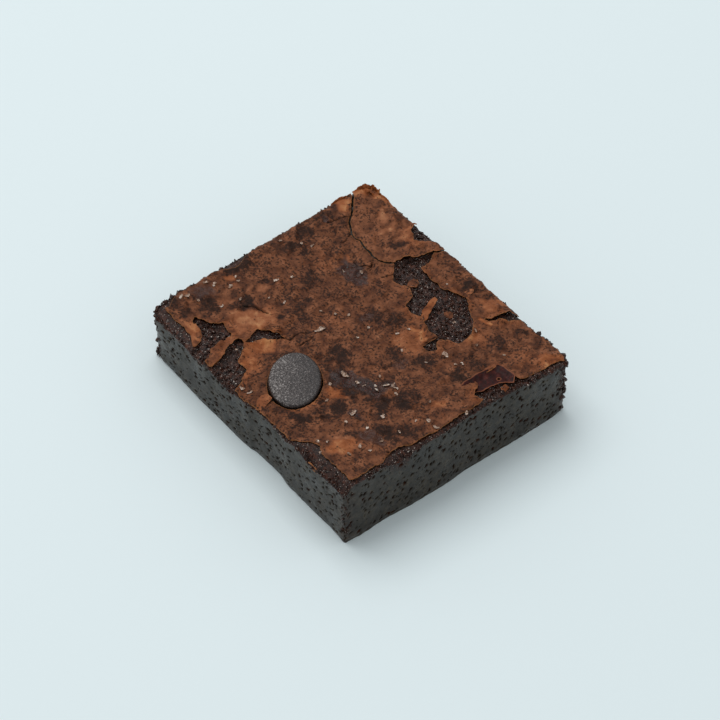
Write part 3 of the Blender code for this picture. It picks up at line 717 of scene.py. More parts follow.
def cracked(x, y):
    """1 along the short cracks that don't part the crust, 0 beyond their half width, wandering a little."""
    share = np.zeros(np.shape(x))
    shift_x, shift_y = 0.3 * crumple(x, y, 0.0, 1.6, seed=71), 0.3 * crumple(x, y, 0.0, 1.6, seed=72)
    for crack in CRACKS:
        share = np.maximum(share, 1.0 - from_line(x + shift_x, y + shift_y, crack, closed=False) / CRACK_HALF_WIDTH)
    return smooth_step(share)


def cut_sheet(low, high, spacing, field):
    """Triangles of a square grid where field(x, y) is above 0, with those on its outline cut along it.

    A triangle with one corner inside keeps that corner's tip and one with two keeps the rest; the new points are
    where the field, taken as straight between two grid points, reaches 0."""
    x, y = np.meshgrid(np.arange(low[0], high[0], spacing), np.arange(low[1], high[1], spacing), indexing="ij")
    number = np.arange(x.size).reshape(x.shape)
    value = field(x, y).ravel()
    cells = quads(number)
    triangles = np.concatenate([cells[:, [0, 1, 2]], cells[:, [0, 2, 3]]])
    inside = value[triangles] > 0
    count = inside.sum(axis=1)

    def turned(kept, first):
        """The triangles with each one's named corner brought to the front."""
        order = (first[:, None] + np.arange(3)) % 3
        return np.take_along_axis(triangles[kept], order, axis=1)

    tip = turned(count == 1, np.argmax(inside[count == 1], axis=1))
    base = turned(count == 2, np.argmin(inside[count == 2], axis=1))
    pairs = np.concatenate([tip[:, [0, 1]], tip[:, [0, 2]], base[:, [0, 1]], base[:, [0, 2]]])
    edges, which = np.unique(np.sort(pairs, axis=1), axis=0, return_inverse=True)
    start, end = edges.T
    share = np.clip(value[start] / (value[start] - value[end]), 0.04, 0.96)
    flat = np.stack([x.ravel(), y.ravel()], axis=1)
    flat = np.concatenate([flat, flat[start] + (flat[end] - flat[start]) * share[:, None]])
    which = which.reshape(-1) + x.size
    t, b = len(tip), len(base)
    tip_a, tip_b, base_a, base_b = np.split(which, [t, 2 * t, 2 * t + b])
    kept = np.concatenate(
        [
            triangles[count == 3],
            np.stack([tip[:, 0], tip_a, tip_b], axis=1),
            np.stack([base_a, base[:, 1], base[:, 2]], axis=1),
            np.stack([base_a, base[:, 2], base_b], axis=1),
        ]
    )
    used, kept = np.unique(kept, return_inverse=True)
    return flat[used], kept.reshape(-1, 3)


def closed_sheet(flat, triangles, top, thickness):
    """A thin closed body: the triangles at height top, their reversed copy a thickness lower, and a rim of quads
    hung from every edge that only one triangle uses."""
    count = len(flat)
    upper = np.column_stack([flat, top])
    lower = np.column_stack([flat, top - thickness])
    start = triangles.ravel()
    end = np.roll(triangles, -1, axis=1).ravel()
    forward, backward = start * count + end, end * count + start
    alone = ~np.isin(forward, backward)
    a, b = start[alone], end[alone]
    rim = np.stack([b, a, a + count, b + count], axis=1)
    faces = triangles.tolist() + (triangles[:, ::-1] + count).tolist() + rim.tolist()
    return np.concatenate([upper, lower]), faces


def crust_plate(field, low, high, spacing, smooth_base):
    """Points, faces and numbers of one plate of the crust; smooth_base lifts its tone all over."""
    flat, triangles = cut_sheet(low, high, spacing, field)
    x, y = flat.T
    from_edge = field(x, y)
    top = crust_height(x, y, from_edge)
    thickness = CRUST_THIN + (CRUST_THICK - CRUST_THIN) * smooth_step(from_edge / 1.2)
    points, faces = closed_sheet(flat, triangles, top, thickness)
    blot_x, blot_y = blotted(x, y)
    dark = strongest(blot_x, blot_y, DARK_BLOTCHES)
    bright, orange = np.zeros(x.shape), np.zeros(x.shape)
    # Lighter blotches: the skin's own tone and painted light on lifted plates
    for spot in LIGHT_AND_LIT_BLOTCHES:
        share = spot[5] * in_spot(blot_x, blot_y, spot)
        orange = np.where(share > bright, spot[6], orange)
        bright = np.maximum(bright, share)
    # Painted light: where the skin curls up off the crumb beside the bare patches, its tone is raised and made more
    # orange, as light glowing through the thin, lifted skin
    lifted_glow = smooth_step(1.0 - off_bare_ground(x, y) / 3.0) * np.clip(crumple(x, y, 0.0, 5.5, seed=67) + 0.5, 0, 1)
    facts = dict(
        tone=bright + 0.25 * lifted_glow - dark + smooth_base,
        orange=np.clip(orange * np.sqrt(bright) + 0.5 * lifted_glow, 0.0, 1.0),
        edge=np.clip(from_edge, 0.0, 4.0),
        moist=strongest(blot_x, blot_y, MOIST_PLACES),
        crack=cracked(x, y),
    )
    return points, faces, {key: np.tile(values, 2) for key, values in facts.items()}


# Baked sugar crust: tan where it is thin, dark where butter has soaked it, pale at its torn rims, with a faint satin
# sheen, sugary specks and small moist places that shine. Painted light makes it lighter and more orange where it
# curls up off the crumb and on lifted plates that face the light, and painted shade makes its short cracks near
# black.
crust, tree, surface, where = new_material("papery_sugar_crust")
tone, orange, edge, moist, crack = (
    node(tree, "ShaderNodeAttribute", attribute_name=key).outputs["Fac"]
    for key in ("tone", "orange", "edge", "moist", "crack")
)
patchy = node(
    tree, "ShaderNodeTexNoise", {"Vector": where, "Scale": per_mm(5.0), "Detail": 5.0, "Roughness": 0.6}
).outputs["Fac"]
freckle = node(
    tree, "ShaderNodeTexNoise", {"Vector": where, "Scale": per_mm(0.62), "Detail": 4.0, "Roughness": 0.65}
).outputs["Fac"]
drift = node(
    tree, "ShaderNodeTexNoise", {"Vector": where, "Scale": per_mm(2.6), "Detail": 3.0, "Distortion": 0.6}
).outputs["Fac"]
value = node(tree, "ShaderNodeMath", {0: drift, 1: 0.95, 2: 0.03}, operation="MULTIPLY_ADD").outputs["Value"]
value = node(tree, "ShaderNodeMath", {0: tone, 1: 0.24, 2: value}, operation="MULTIPLY_ADD").outputs["Value"]
brown = node(
    tree,
    "ShaderNodeValToRGB",
    {"Fac": value},
    stops=((0.15, "29150b"), (0.38, "522e1c"), (0.55, "74462d"), (0.72, "8c583c"), (0.95, "b07c58")),
).outputs["Color"]
rusty = node(
    tree,
    "ShaderNodeValToRGB",
    {"Fac": value},
    stops=((0.15, "2c1406"), (0.38, "56290d"), (0.55, "80431f"), (0.72, "9a5932"), (0.95, "ba8254")),
).outputs["Color"]
colour = node(tree, "ShaderNodeMix", {MIX_BY: orange, MIX_FROM: brown, MIX_TO: rusty}, data_type="RGBA")
# Specks of dark crumb show through, crowded in the dark blotches and sparse where the skin is thick
crowding = node(tree, "ShaderNodeMath", {0: patchy, 1: 1.6, 2: -0.42}, operation="MULTIPLY_ADD").outputs["Value"]
crowding = node(tree, "ShaderNodeMath", {0: tone, 1: -0.44, 2: crowding}, operation="MULTIPLY_ADD").outputs["Value"]
speck = node(tree, "ShaderNodeMath", {0: crowding, 1: 0.26, 2: freckle}, operation="MULTIPLY_ADD").outputs["Value"]
speck = node(
    tree, "ShaderNodeMapRange", {"Value": speck, "From Min": 0.60, "From Max": 0.70, "To Min": 0.0, "To Max": 0.86}
).outputs["Result"]
colour = node(
    tree,
    "ShaderNodeMix",
    {MIX_BY: speck, MIX_FROM: colour.outputs[MIXED], MIX_TO: shade("211109")},
    data_type="RGBA",
)
wet_share = node(
    tree, "ShaderNodeMapRange", {"Value": moist, "From Min": 0.1, "From Max": 0.6, "To Min": 0.0, "To Max": 0.85}
).outputs["Result"]
wet_colour = node(
    tree, "ShaderNodeValToRGB", {"Fac": freckle}, stops=((0.36, "120604"), (0.56, "33140b"), (0.72, "6a3420"))
).outputs["Color"]
colour = node(
    tree, "ShaderNodeMix", {MIX_BY: wet_share, MIX_FROM: colour.outputs[MIXED], MIX_TO: wet_colour}, data_type="RGBA"
)
rim_share = node(
    tree, "ShaderNodeMapRange", {"Value": edge, "From Min": 0.03, "From Max": 0.22, "To Min": 1.0, "To Max": 0.0}
).outputs["Result"]
rim_share = node(tree, "ShaderNodeMath", {0: rim_share, 1: patchy}, operation="MULTIPLY").outputs["Value"]
colour = node(
    tree,
    "ShaderNodeMix",
    {MIX_BY: rim_share, MIX_FROM: colour.outputs[MIXED], MIX_TO: shade("966339")},
    data_type="RGBA",
)
# Painted shade: the short cracks are painted near black, as shade in their sunken grooves
colour = node(
    tree,
    "ShaderNodeMix",
    {MIX_BY: crack, MIX_FROM: colour.outputs[MIXED], MIX_TO: shade("0e0704")},
    data_type="RGBA",
)
rough = node(
    tree, "ShaderNodeMapRange", {"Value": moist, "From Min": 0.1, "From Max": 0.6, "To Min": 0.50, "To Max": 0.22}
).outputs["Result"]
relief = node(tree, "ShaderNodeBump", {"Height": drift, "Strength": 0.6, "Distance": 0.8 * MM}).outputs["Normal"]
relief = node(
    tree, "ShaderNodeBump", {"Height": freckle, "Normal": relief, "Strength": 0.7, "Distance": 0.3 * MM}
).outputs["Normal"]
for socket, source in (("Base Color", colour.outputs[MIXED]), ("Roughness", rough), ("Normal", relief)):
    tree.links.new(source, surface.inputs[socket])
surface.inputs["IOR"].default_value = 1.48
wet_gloss = node(
    tree, "ShaderNodeMapRange", {"Value": moist, "From Min": 0.1, "From Max": 0.6, "To Min": 0.12, "To Max": 0.28}
).outputs["Result"]
tree.links.new(wet_gloss, surface.inputs["Specular IOR Level"])

for name, field, low, high, smooth_base in (
    ("main_crust", main_crust_field, (-41, -37), (41, 37), 0.0),
    ("back_crust_plate", back_plate_field, (-41, 18), (-7, 37), 0.14),
):
    points, faces, facts = crust_plate(field, low, high, CRUST_GRID, smooth_base)
    plate = add_piece(name, points, faces, facts, crust)
    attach(plate, "root")

# ---------------------------------------------------------------------------------------------------------------
# Flakes and curls. Bits of the same skin that came loose: islands left on the bare crumb, a tongue standing in the
# long patch and a frill curled up at the north-west corner; and small pale curls set where moist crust glints, which
# are mostly painted highlights.
# ---------------------------------------------------------------------------------------------------------------
FLAKE_GRID = 0.24
FLAKES = (  # name, outline, height above the slab's top at its low end and at its high end, where those are, tone
    (
        "standing_tongue",
        ((3.0, 22.6), (4.3, 22.2), (5.0, 19.9), (6.4, 17.4), (7.4, 15.2), (5.5, 15.4), (3.9, 17.6), (3.0, 20.4)),
        (-0.6, 1.3), ((6.8, 15.4), (3.6, 22.4)), (0.40, 0.7),
    ),
    (
        "round_island",
        ((-6.4, 21.4), (-6.2, 23.0), (-5.0, 23.6), (-3.8, 22.9), (-3.4, 21.6), (-4.4, 20.6), (-5.6, 20.4)),
        (-0.35, 0.15), ((-6.2, 20.6), (-3.8, 23.4)), (0.15, 0.1),
    ),
    (
        "rough_island",
        ((7.6, 21.4), (7.9, 22.8), (9.0, 23.2), (10.1, 22.4), (9.7, 21.3), (8.6, 20.9)),
        (-0.6, 0.0), ((9.6, 21.0), (8.0, 23.0)), (-0.2, 0.2),
    ),
    (
        "north_spire",
        ((5.4, 29.0), (5.9, 31.6), (6.5, 32.6), (7.0, 31.2), (7.6, 29.4), (6.6, 28.2)),
        (0.1, 0.7), ((7.2, 28.4), (6.4, 32.4)), (0.5, 0.3),
    ),
    (
        "south_flap",
        ((-17.1, -30.2), (-15.8, -30.4), (-14.7, -32.6), (-15.4, -33.8), (-17.2, -33.4), (-17.7, -31.6)),
        (-0.5, 0.7), ((-15.2, -33.6), (-17.2, -30.4)), (0.6, 0.7),
    ),
    (
        "east_scrap",
        ((37.2, 16.8), (38.6, 17.0), (39.3, 15.6), (38.6, 14.6), (37.4, 15.2)),
        (-0.5, 0.1), ((39.2, 14.8), (37.4, 16.8)), (0.4, 0.6),
    ),
    (
        "button_scrap",
        ((1.8, -29.6), (3.6, -29.4), (4.4, -31.4), (4.6, -33.6), (3.0, -34.2), (1.6, -32.6), (1.2, -31.0)),
        (0.1, 0.8), ((4.4, -33.8), (2.0, -30.0)), (0.6, 0.5),
    ),
)
RED_FLAKE = (
    (31.0, 19.6), (32.7, 20.3), (36.9, 20.3), (38.3, 18.8), (36.9, 17.4), (36.3, 15.8), (35.9, 13.6), (35.8, 11.3),
    (35.2, 9.1), (34.3, 7.5), (33.6, 5.7), (32.7, 7.2), (31.6, 6.2), (30.5, 9.1), (30.3, 14.1), (30.6, 17.4),
)
RED_FLAKE_HOLE = (34.9, 16.8, 0.45)


def one_flake(outline, spacing, lift, tone, orange, seed, hole=None, rimless=0.12):
    """A loose flake of skin: its outline cut from a sheet that rises from one end to the other and curls."""
    corners = np.array(outline)

    def field(x, y):
        """Above 0 on the flake."""
        inside = -from_line(x, y, outline, closed=True) - ragged(x, y, 0.3, seed=seed)
        if hole:
            inside = np.minimum(inside, np.hypot(x - hole[0], y - hole[1]) - hole[2])
        return inside

    flat, triangles = cut_sheet(corners.min(axis=0) - 0.5, corners.max(axis=0) + 0.5, spacing, field)
    x, y = flat.T
    from_edge = field(x, y)
    top = slab_height(x, y) + lift(x, y) + 0.12 * crumple(x, y, 0.0, 1.8, seed=seed + 1, octaves=2)
    points, faces = closed_sheet(flat, triangles, top, 0.12 + 0.10 * smooth_step(from_edge / 0.8))
    facts = dict(
        tone=np.full(len(flat), tone), orange=np.full(len(flat), orange), edge=np.clip(from_edge, 0.0, 4.0) + rimless,
        moist=np.zeros(len(flat)), crack=np.zeros(len(flat)),
    )
    return points, faces, {key: np.tile(values, 2) for key, values in facts.items()}


def rising(heights, ends):
    """Height that goes from the first to the second between two places, faster towards the high end."""
    (low, high), (start, end) = heights, np.array(ends)
    run = end - start

    def lift(x, y):
        """Height above the slab's own top."""
        share = ((x - start[0]) * run[0] + (y - start[1]) * run[1]) / (run @ run)
        return low + (high - low) * np.clip(share, 0.0, 1.2) ** 1.3

    return lift


def thick_patch(grid, thickness):
    """A closed thin body from a two-way grid of points: its back is set off along the grid's own normals."""
    normal = np.cross(np.gradient(grid, axis=0), np.gradient(grid, axis=1))
    normal /= np.linalg.norm(normal, axis=-1, keepdims=True)
    number = np.arange(grid.shape[0] * grid.shape[1]).reshape(grid.shape[:2])
    back = number + number.size
    faces = [quads(number), quads(back)[:, ::-1]]
    ring = np.concatenate([number[:-1, 0], number[-1, :-1], number[:0:-1, -1], number[0, :0:-1]])
    after = np.roll(ring, -1)
    faces.append(np.stack([after, ring, ring + number.size, after + number.size], axis=1))
    points = np.concatenate([grid.reshape(-1, 3), (grid - thickness * normal).reshape(-1, 3)])
    return points, np.concatenate(faces)


for k, (name, outline, heights, ends, (tone_here, orange_here)) in enumerate(FLAKES):
    points, faces, facts = one_flake(
        outline, FLAKE_GRID, rising(heights, ends), tone_here, orange_here, seed=101 + 3 * k
    )
    flake = add_piece(name, points, faces, facts, crust)
    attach(flake, "root")

# The frill at the north-west corner: the plate's end curled up on itself in three torn lobes
FRILLS = (  # plan of its foot, how high each lobe stands, how far it leans out, tone
    (((-39.4, 30.4), (-39.5, 32.2), (-38.9, 33.8), (-37.6, 34.6)), (0.3, 1.1, 1.3, 0.6), 0.5, 0.75),
    (((-39.0, 34.6), (-38.0, 35.2), (-36.6, 35.4), (-35.2, 35.0)), (0.3, 1.3, 0.7, 1.8), 0.25, 0.9),
    (((-35.6, 35.0), (-34.0, 35.3), (-32.6, 35.3), (-31.2, 35.2)), (0.4, 0.3, 0.4, 0.1), 0.4, 0.5),
    (((-40.0, 23.6), (-40.1, 25.4), (-39.9, 27.2), (-39.4, 28.6)), (0.1, 0.5, 0.6, 0.3), 0.4, 0.6),
    (((-38.0, 33.0), (-37.0, 33.8), (-36.0, 34.0), (-34.8, 34.0)), (0.1, 0.8, 0.6, 0.2), -0.6, 0.8),
)
FRILL_CELLS = (34, 9)


def frill(path, rises, lean, seed):
    """A strip that stands along a path, its height running smoothly between the given rises with a torn, toothed
    top, and leaning outwards more towards the top."""
    t, up = np.meshgrid(np.linspace(0, 1, FRILL_CELLS[0]), np.linspace(0, 1, FRILL_CELLS[1]), indexing="ij")
    stations = np.linspace(0, 1, len(path))
    path = np.array(path)
    x, y = (np.interp(t, stations, path[:, k]) for k in (0, 1))
    along = np.gradient(np.stack([x[:, 0], y[:, 0]], axis=1), axis=0)
    along /= np.linalg.norm(along, axis=1, keepdims=True)
    height = along_edge((stations, rises), t) * (1.0 + 0.35 * crumple(9.0 * t, 0.0, 0.0, 1.0, seed=seed, octaves=2))
    out = lean * up**1.6 + 0.25 * crumple(6.0 * t, 2.0 * up, 0.0, 1.0, seed=seed + 1)
    x, y = x - out * along[:, 1:2], y + out * along[:, 0:1]
    z = slab_height(np.clip(x, -40, 40), np.clip(y, -35.4, 35.4)) - 0.5 + (height + 0.5) * up
    return thick_patch(np.stack([x, y, z], axis=-1), 0.16)


frill_points, frill_faces, frill_tones, first = [], [], [], 0
for k, (path, rises, lean, tone_here) in enumerate(FRILLS):
    points, faces = frill(path, rises, lean, seed=131 + 2 * k)
    frill_points.append(points)
    frill_faces += (faces + first).tolist()
    frill_tones.append(np.full(len(points), tone_here))
    first += len(points)
frill_points, frill_tones = np.concatenate(frill_points), np.concatenate(frill_tones)
nothing = np.zeros(len(frill_points))
frill_facts = dict(tone=frill_tones, orange=nothing + 0.9, edge=nothing + 0.2, moist=nothing, crack=nothing)
corner_frill = add_piece("corner_frill", frill_points, frill_faces, frill_facts, crust)
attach(corner_frill, "root")

# A thin loop of the same skin, cut through by the knife, shows as a flat oval ring on the south side
LOOP_CENTRE = (27.0, -35.0, 16.2)
LOOP_HALF_LENGTH, LOOP_HALF_HEIGHT, LOOP_TUBE = 2.1, 0.62, 0.17
LOOP_CELLS = (56, 9)


def loop_surface():
    """A tube of small radius round an oval that stands in the plane of the south side."""
    around, over = np.meshgrid(
        np.linspace(0, 2 * math.pi, LOOP_CELLS[0]), np.linspace(0, 2 * math.pi, LOOP_CELLS[1]), indexing="ij"
    )
    tube = LOOP_TUBE * (1.0 + 0.3 * np.sin(3 * around))
    x = LOOP_CENTRE[0] + (LOOP_HALF_LENGTH + tube * np.cos(over)) * np.cos(around)
    y = LOOP_CENTRE[1] + tube * np.sin(over)
    z = LOOP_CENTRE[2] + (LOOP_HALF_HEIGHT + tube * np.cos(over)) * np.sin(around) - 0.10 * (x - LOOP_CENTRE[0])
    number = np.arange((LOOP_CELLS[0] - 1) * (LOOP_CELLS[1] - 1)).reshape(LOOP_CELLS[0] - 1, LOOP_CELLS[1] - 1)
    wrapped = np.pad(number, ((0, 1), (0, 1)), mode="wrap")
    points = np.stack([x, y, z], axis=-1)[:-1, :-1].reshape(-1, 3)
    return points, quads(wrapped).tolist()


loop_points, loop_faces = loop_surface()
nothing = np.zeros(len(loop_points))
loop_facts = dict(tone=nothing + 1.1, orange=nothing + 0.5, edge=nothing + 0.1, moist=nothing, crack=nothing)
loop = add_piece("side_loop", loop_points, loop_faces, loop_facts, crust)
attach(loop, "root")

# Caramelised skin: where sugar pooled it baked to a dark red glassy flake
caramel, tree, surface, where = new_material("caramelised_skin")
edge = node(tree, "ShaderNodeAttribute", attribute_name="edge").outputs["Fac"]
shading = node(
    tree, "ShaderNodeTexNoise", {"Vector": where, "Scale": per_mm(1.4), "Detail": 4.0, "Roughness": 0.6}
).outputs["Fac"]
colour = node(
    tree, "ShaderNodeValToRGB", {"Fac": shading}, stops=((0.35, "1b0807"), (0.58, "36110e"), (0.75, "5c2519"))
).outputs["Color"]
rim_share = node(
    tree, "ShaderNodeMapRange", {"Value": edge, "From Min": 0.04, "From Max": 0.30, "To Min": 0.9, "To Max": 0.0}
).outputs["Result"]
colour = node(
    tree, "ShaderNodeMix", {MIX_BY: rim_share, MIX_FROM: colour, MIX_TO: shade("8a5238")}, data_type="RGBA"
)
relief = node(tree, "ShaderNodeBump", {"Height": shading, "Strength": 0.5, "Distance": 0.3 * MM}).outputs["Normal"]
for socket, source in (("Base Color", colour.outputs[MIXED]), ("Normal", relief)):
    tree.links.new(source, surface.inputs[socket])
surface.inputs["Roughness"].default_value = 0.38
surface.inputs["IOR"].default_value = 1.5
surface.inputs["Specular IOR Level"].default_value = 0.10


def red_flake_lift(x, y):
    """Just clear of the crumb in the middle, curling up along its north and west edges."""
    curl = smooth_step((32.6 - x) / 2.4) * 0.7 + smooth_step((y - 18.2) / 2.2) * 0.8
    return 0.10 + curl - 0.25 * smooth_step((8.5 - y) / 2.5)


points, faces, facts = one_flake(
    RED_FLAKE, FLAKE_GRID, red_flake_lift, 0.0, 0.0, seed=151, hole=RED_FLAKE_HOLE, rimless=0.0
)
red_flake = add_piece("caramelised_flake", points, faces, facts, caramel)
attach(red_flake, "root")

# Painted highlights: little pale curls set on the skin where moist crust glints, standing in for the glints
glint_material, tree, surface, where = new_material("pale_painted_glints")
glint_mottle = node(
    tree, "ShaderNodeTexNoise", {"Vector": where, "Scale": per_mm(0.6), "Detail": 4.0, "Roughness": 0.6}
).outputs["Fac"]
colour = node(
    tree, "ShaderNodeValToRGB", {"Fac": glint_mottle}, stops=((0.32, "5e3f2e"), (0.50, "a98a74"), (0.66, "e6dcd2"))
).outputs["Color"]
relief = node(tree, "ShaderNodeBump", {"Height": glint_mottle, "Strength": 0.6, "Distance": 0.15 * MM}).outputs["Normal"]
for socket, source in (("Base Color", colour), ("Normal", relief)):
    tree.links.new(source, surface.inputs[socket])
surface.inputs["Roughness"].default_value = 0.35
surface.inputs["IOR"].default_value = 1.45

GLINT_CURLS = (  # x, y, length
    (-7.0, -6.2, 3.6), (-26.2, 0.0, 1.2), (-27.7, -3.9, 1.6), (-33.7, -11.3, 1.2), (-35.3, -10.8, 1.0),
    (-33.4, -13.9, 1.4), (-28.4, -14.7, 1.0), (-38.2, -18.1, 1.6), (-36.4, -16.7, 1.6), (-29.8, -19.6, 1.2),
    (-34.9, -22.9, 1.0), (-37.6, -24.3, 2.0), (-38.2, -25.9, 1.4), (-20.6, -6.9, 1.0), (-24.2, -8.9, 1.0),
    (1.2, -0.8, 1.0), (27.0, -13.4, 1.8), (34.0, -13.8, 1.2), (33.7, -8.5, 1.0), (35.6, -6.1, 1.8), (38.4, -5.8, 2.0),
    (27.9, -19.0, 1.2), (21.1, -18.0, 2.2), (22.7, -21.5, 1.2), (31.6, -24.2, 1.4), (34.1, -23.1, 1.0),
    (31.7, -27.7, 1.0), (24.8, -29.0, 1.0), (23.1, -30.7, 1.4), (26.6, -32.6, 0.8), (9.1, -15.7, 1.4),
    (12.7, -19.7, 1.2), (33.4, -18.9, 1.2), (29.1, 23.2, 1.0), (18.4, 22.9, 1.0), (22.0, 20.4, 0.9),
    (12.4, 21.0, 0.8), (24.8, 13.4, 1.2), (24.0, 11.9, 1.0), (20.0, 11.8, 2.8), (7.0, 10.8, 1.0), (6.3, 7.7, 1.2),
    (19.0, 6.6, 1.0), (11.9, 4.7, 1.0), (1.3, 27.7, 0.8), (39.3, 3.0, 1.2), (-31.7, 10.8, 1.2), (-37.8, 5.4, 1.0),
    (-33.9, 9.1, 0.9), (-6.4, 2.4, 1.0), (-8.9, 0.1, 0.9), (-1.7, -32.4, 2.0), (-4.0, -33.0, 1.6),
    (8.8, -10.8, 2.6), (12.7, -10.1, 1.6), (15.0, -9.8, 1.2), (18.4, -5.7, 2.6), (19.9, -4.6, 1.6),
    (21.5, -5.0, 1.6), (23.0, -6.0, 1.2), (15.2, -5.0, 1.0), (18.6, -8.6, 1.2), (17.4, -8.1, 1.0), (-16.4, 14.4, 0.9),
    (-19.8, 11.3, 0.8), (-14.6, -26.6, 0.9), (0.5, 3.2, 0.8), (-12.0, -2.0, 0.7), (30.5, -1.5, 0.8),
)
CURL_CELLS = (9, 5)
curl_draw = np.random.default_rng(161)
curl_points, curl_faces, first = [], [], 0
a, b = np.meshgrid(np.linspace(-1, 1, CURL_CELLS[0]), np.linspace(-1, 1, CURL_CELLS[1]), indexing="ij")
# Each pale curl is a painted highlight set at a glint
for curl_x, curl_y, length in GLINT_CURLS:
    heading, bow, twist = curl_draw.uniform(0, math.pi), curl_draw.uniform(0.2, 0.5), curl_draw.uniform(-0.5, 0.5)
    half, half_width = 0.40 * length, 0.12 + 0.16 * length * curl_draw.uniform(0.5, 1.1)
    width = half_width * np.sqrt(1.02 - a**2) * (1.0 + 0.8 * crumple(3.0 * a, b + length, curl_x, 1.0, seed=162))
    across = b * width + 0.2 * half * np.sin(2.2 * a + twist * 6.0)
    x = curl_x + np.cos(heading) * a * half - np.sin(heading) * across
    y = curl_y + np.sin(heading) * a * half + np.cos(heading) * across
    rise = 0.20 + bow * half_width * (b**2) + 0.22 * crumple(2.0 * a, 2.0 * b, curl_y, 1.0, seed=163)
    z = crust_height(x, y, np.full(x.shape, 2.0)) + rise
    points, faces = thick_patch(np.stack([x, y, z], axis=-1), 0.10)
    curl_points.append(points)
    curl_faces += (faces + first).tolist()
    first += len(points)
curls = add_piece("painted_glint_curls", np.concatenate(curl_points), curl_faces, {}, glint_material)
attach(curls, "root")

# ---------------------------------------------------------------------------------------------------------------
# Chocolate button. One dark chocolate drop, flattened to an oval coin, pressed into the batter and baked with it:
# its face went matt and pitted with bloom, its rim stayed rounded and smooth.
# ---------------------------------------------------------------------------------------------------------------
BUTTON_RINGS, BUTTON_SPOKES = 44, 132
BUTTON_RIM_RADIUS = 0.9
BUTTON_CROWN = 0.15


def button_surface():
    """Rings round the button's axis: out over a slightly crowned face, round the upper rim, down the wall, round
    the lower rim and back in under it; the face is pitted and grainy, and each point carries its share towards one
    side across the face, where the face is painted lighter as a highlight."""
    half_thick, rim = BUTTON_THICK / 2, BUTTON_RIM_RADIUS
    face = np.linspace(0.0, 1.0, BUTTON_RINGS)[1:]
    bend = np.radians(np.linspace(90.0, -90.0, 15)[1:])
    radial = np.concatenate([face * (1 - rim / 7.5), 1 - rim / 7.5 + rim / 7.5 * np.cos(bend)])
    radial = np.concatenate([radial, np.linspace(radial[-1], 0.0, 9)[1:-1]])
    height = np.concatenate([BUTTON_CROWN * (1 - face**2), (half_thick * (np.sin(bend) - 1))])
    height = np.concatenate([height, np.full(7, -BUTTON_THICK)])
    turn = np.linspace(0, 2 * math.pi, BUTTON_SPOKES, endpoint=False)
    oval_x, oval_y = BUTTON_HALF_LONG * np.cos(turn), BUTTON_HALF_ACROSS * np.sin(turn)
    x, y = radial[:, None] * oval_x, radial[:, None] * oval_y
    z = np.broadcast_to(height[:, None], x.shape)
    on_top = smooth_step((z + 0.9) / 0.8)
    pit, number = scattered(x, y, (0.85, 0.85), seed=81)
    pitted = 0.035 * crumple(x, y, 0.0, 0.8, seed=82, octaves=2)
    pitted = pitted - 0.08 * smooth_step(1.0 - pit / 0.35) * (number > 0.7) + 0.10 * crumple(x, y, 0.0, 4.5, seed=83)
    z = z + on_top * pitted
    wobble = 1.0 + 0.012 * crumple(x, y, z, 5.0, seed=84)
    x, y = x * wobble, y * wobble
    rings = np.stack([x, y, z], axis=-1)
    centre_top = [[0.0, 0.0, BUTTON_CROWN]]
    centre_under = [[0.0, 0.0, -BUTTON_THICK]]
    points = np.concatenate([centre_top, rings.reshape(-1, 3), centre_under])
    number = np.arange(x.size).reshape(x.shape) + 1
    number = np.concatenate([number, number[:, :1]], axis=1)
    faces = quads(number).tolist()
    first, last = number[0], number[-1]
    faces += [[0, first[k], first[k + 1]] for k in range(BUTTON_SPOKES)]
    faces += [[len(points) - 1, last[k + 1], last[k]] for k in range(BUTTON_SPOKES)]
    lean, heading = BUTTON_LEAN, BUTTON_HEADING
    down = np.array([math.cos(lean), 0.0, -math.sin(lean)])
    up = np.array([math.sin(lean), 0.0, math.cos(lean)])
    turned = points[:, :1] * down + points[:, 1:2] * np.array([0.0, 1.0, 0.0]) + points[:, 2:] * up
    placed = turned.copy()
    placed[:, 0] = math.cos(heading) * turned[:, 0] - math.sin(heading) * turned[:, 1]
    placed[:, 1] = math.sin(heading) * turned[:, 0] + math.cos(heading) * turned[:, 1]
    face_share = np.concatenate([[1.0], on_top.ravel(), [0.0]])
    highlight_side = np.concatenate([[0.0], (-y / BUTTON_HALF_ACROSS).ravel(), [0.0]])
    return placed + BUTTON_CENTRE, faces, dict(face=face_share, highlight_side=highlight_side)


# Tempered dark chocolate that has been through the oven: nearly black, with grey fat bloom in fine speckles whose
# lightest grey is also painted sheen and glints, and a painted highlight that lightens the speckles towards one side
chocolate, tree, surface, where = new_material("bloomed_dark_chocolate")
face = node(tree, "ShaderNodeAttribute", attribute_name="face").outputs["Fac"]
speckle = node(
    tree, "ShaderNodeTexNoise", {"Vector": where, "Scale": per_mm(0.42), "Detail": 4.0, "Roughness": 0.7}
).outputs["Fac"]
highlight_side = node(tree, "ShaderNodeAttribute", attribute_name="highlight_side").outputs["Fac"]
# Painted highlight: the speckle is shifted lighter towards one side of the face
bloom_and_highlight = node(tree, "ShaderNodeMath", {0: highlight_side, 1: 0.07, 2: speckle}, operation="MULTIPLY_ADD").outputs["Value"]
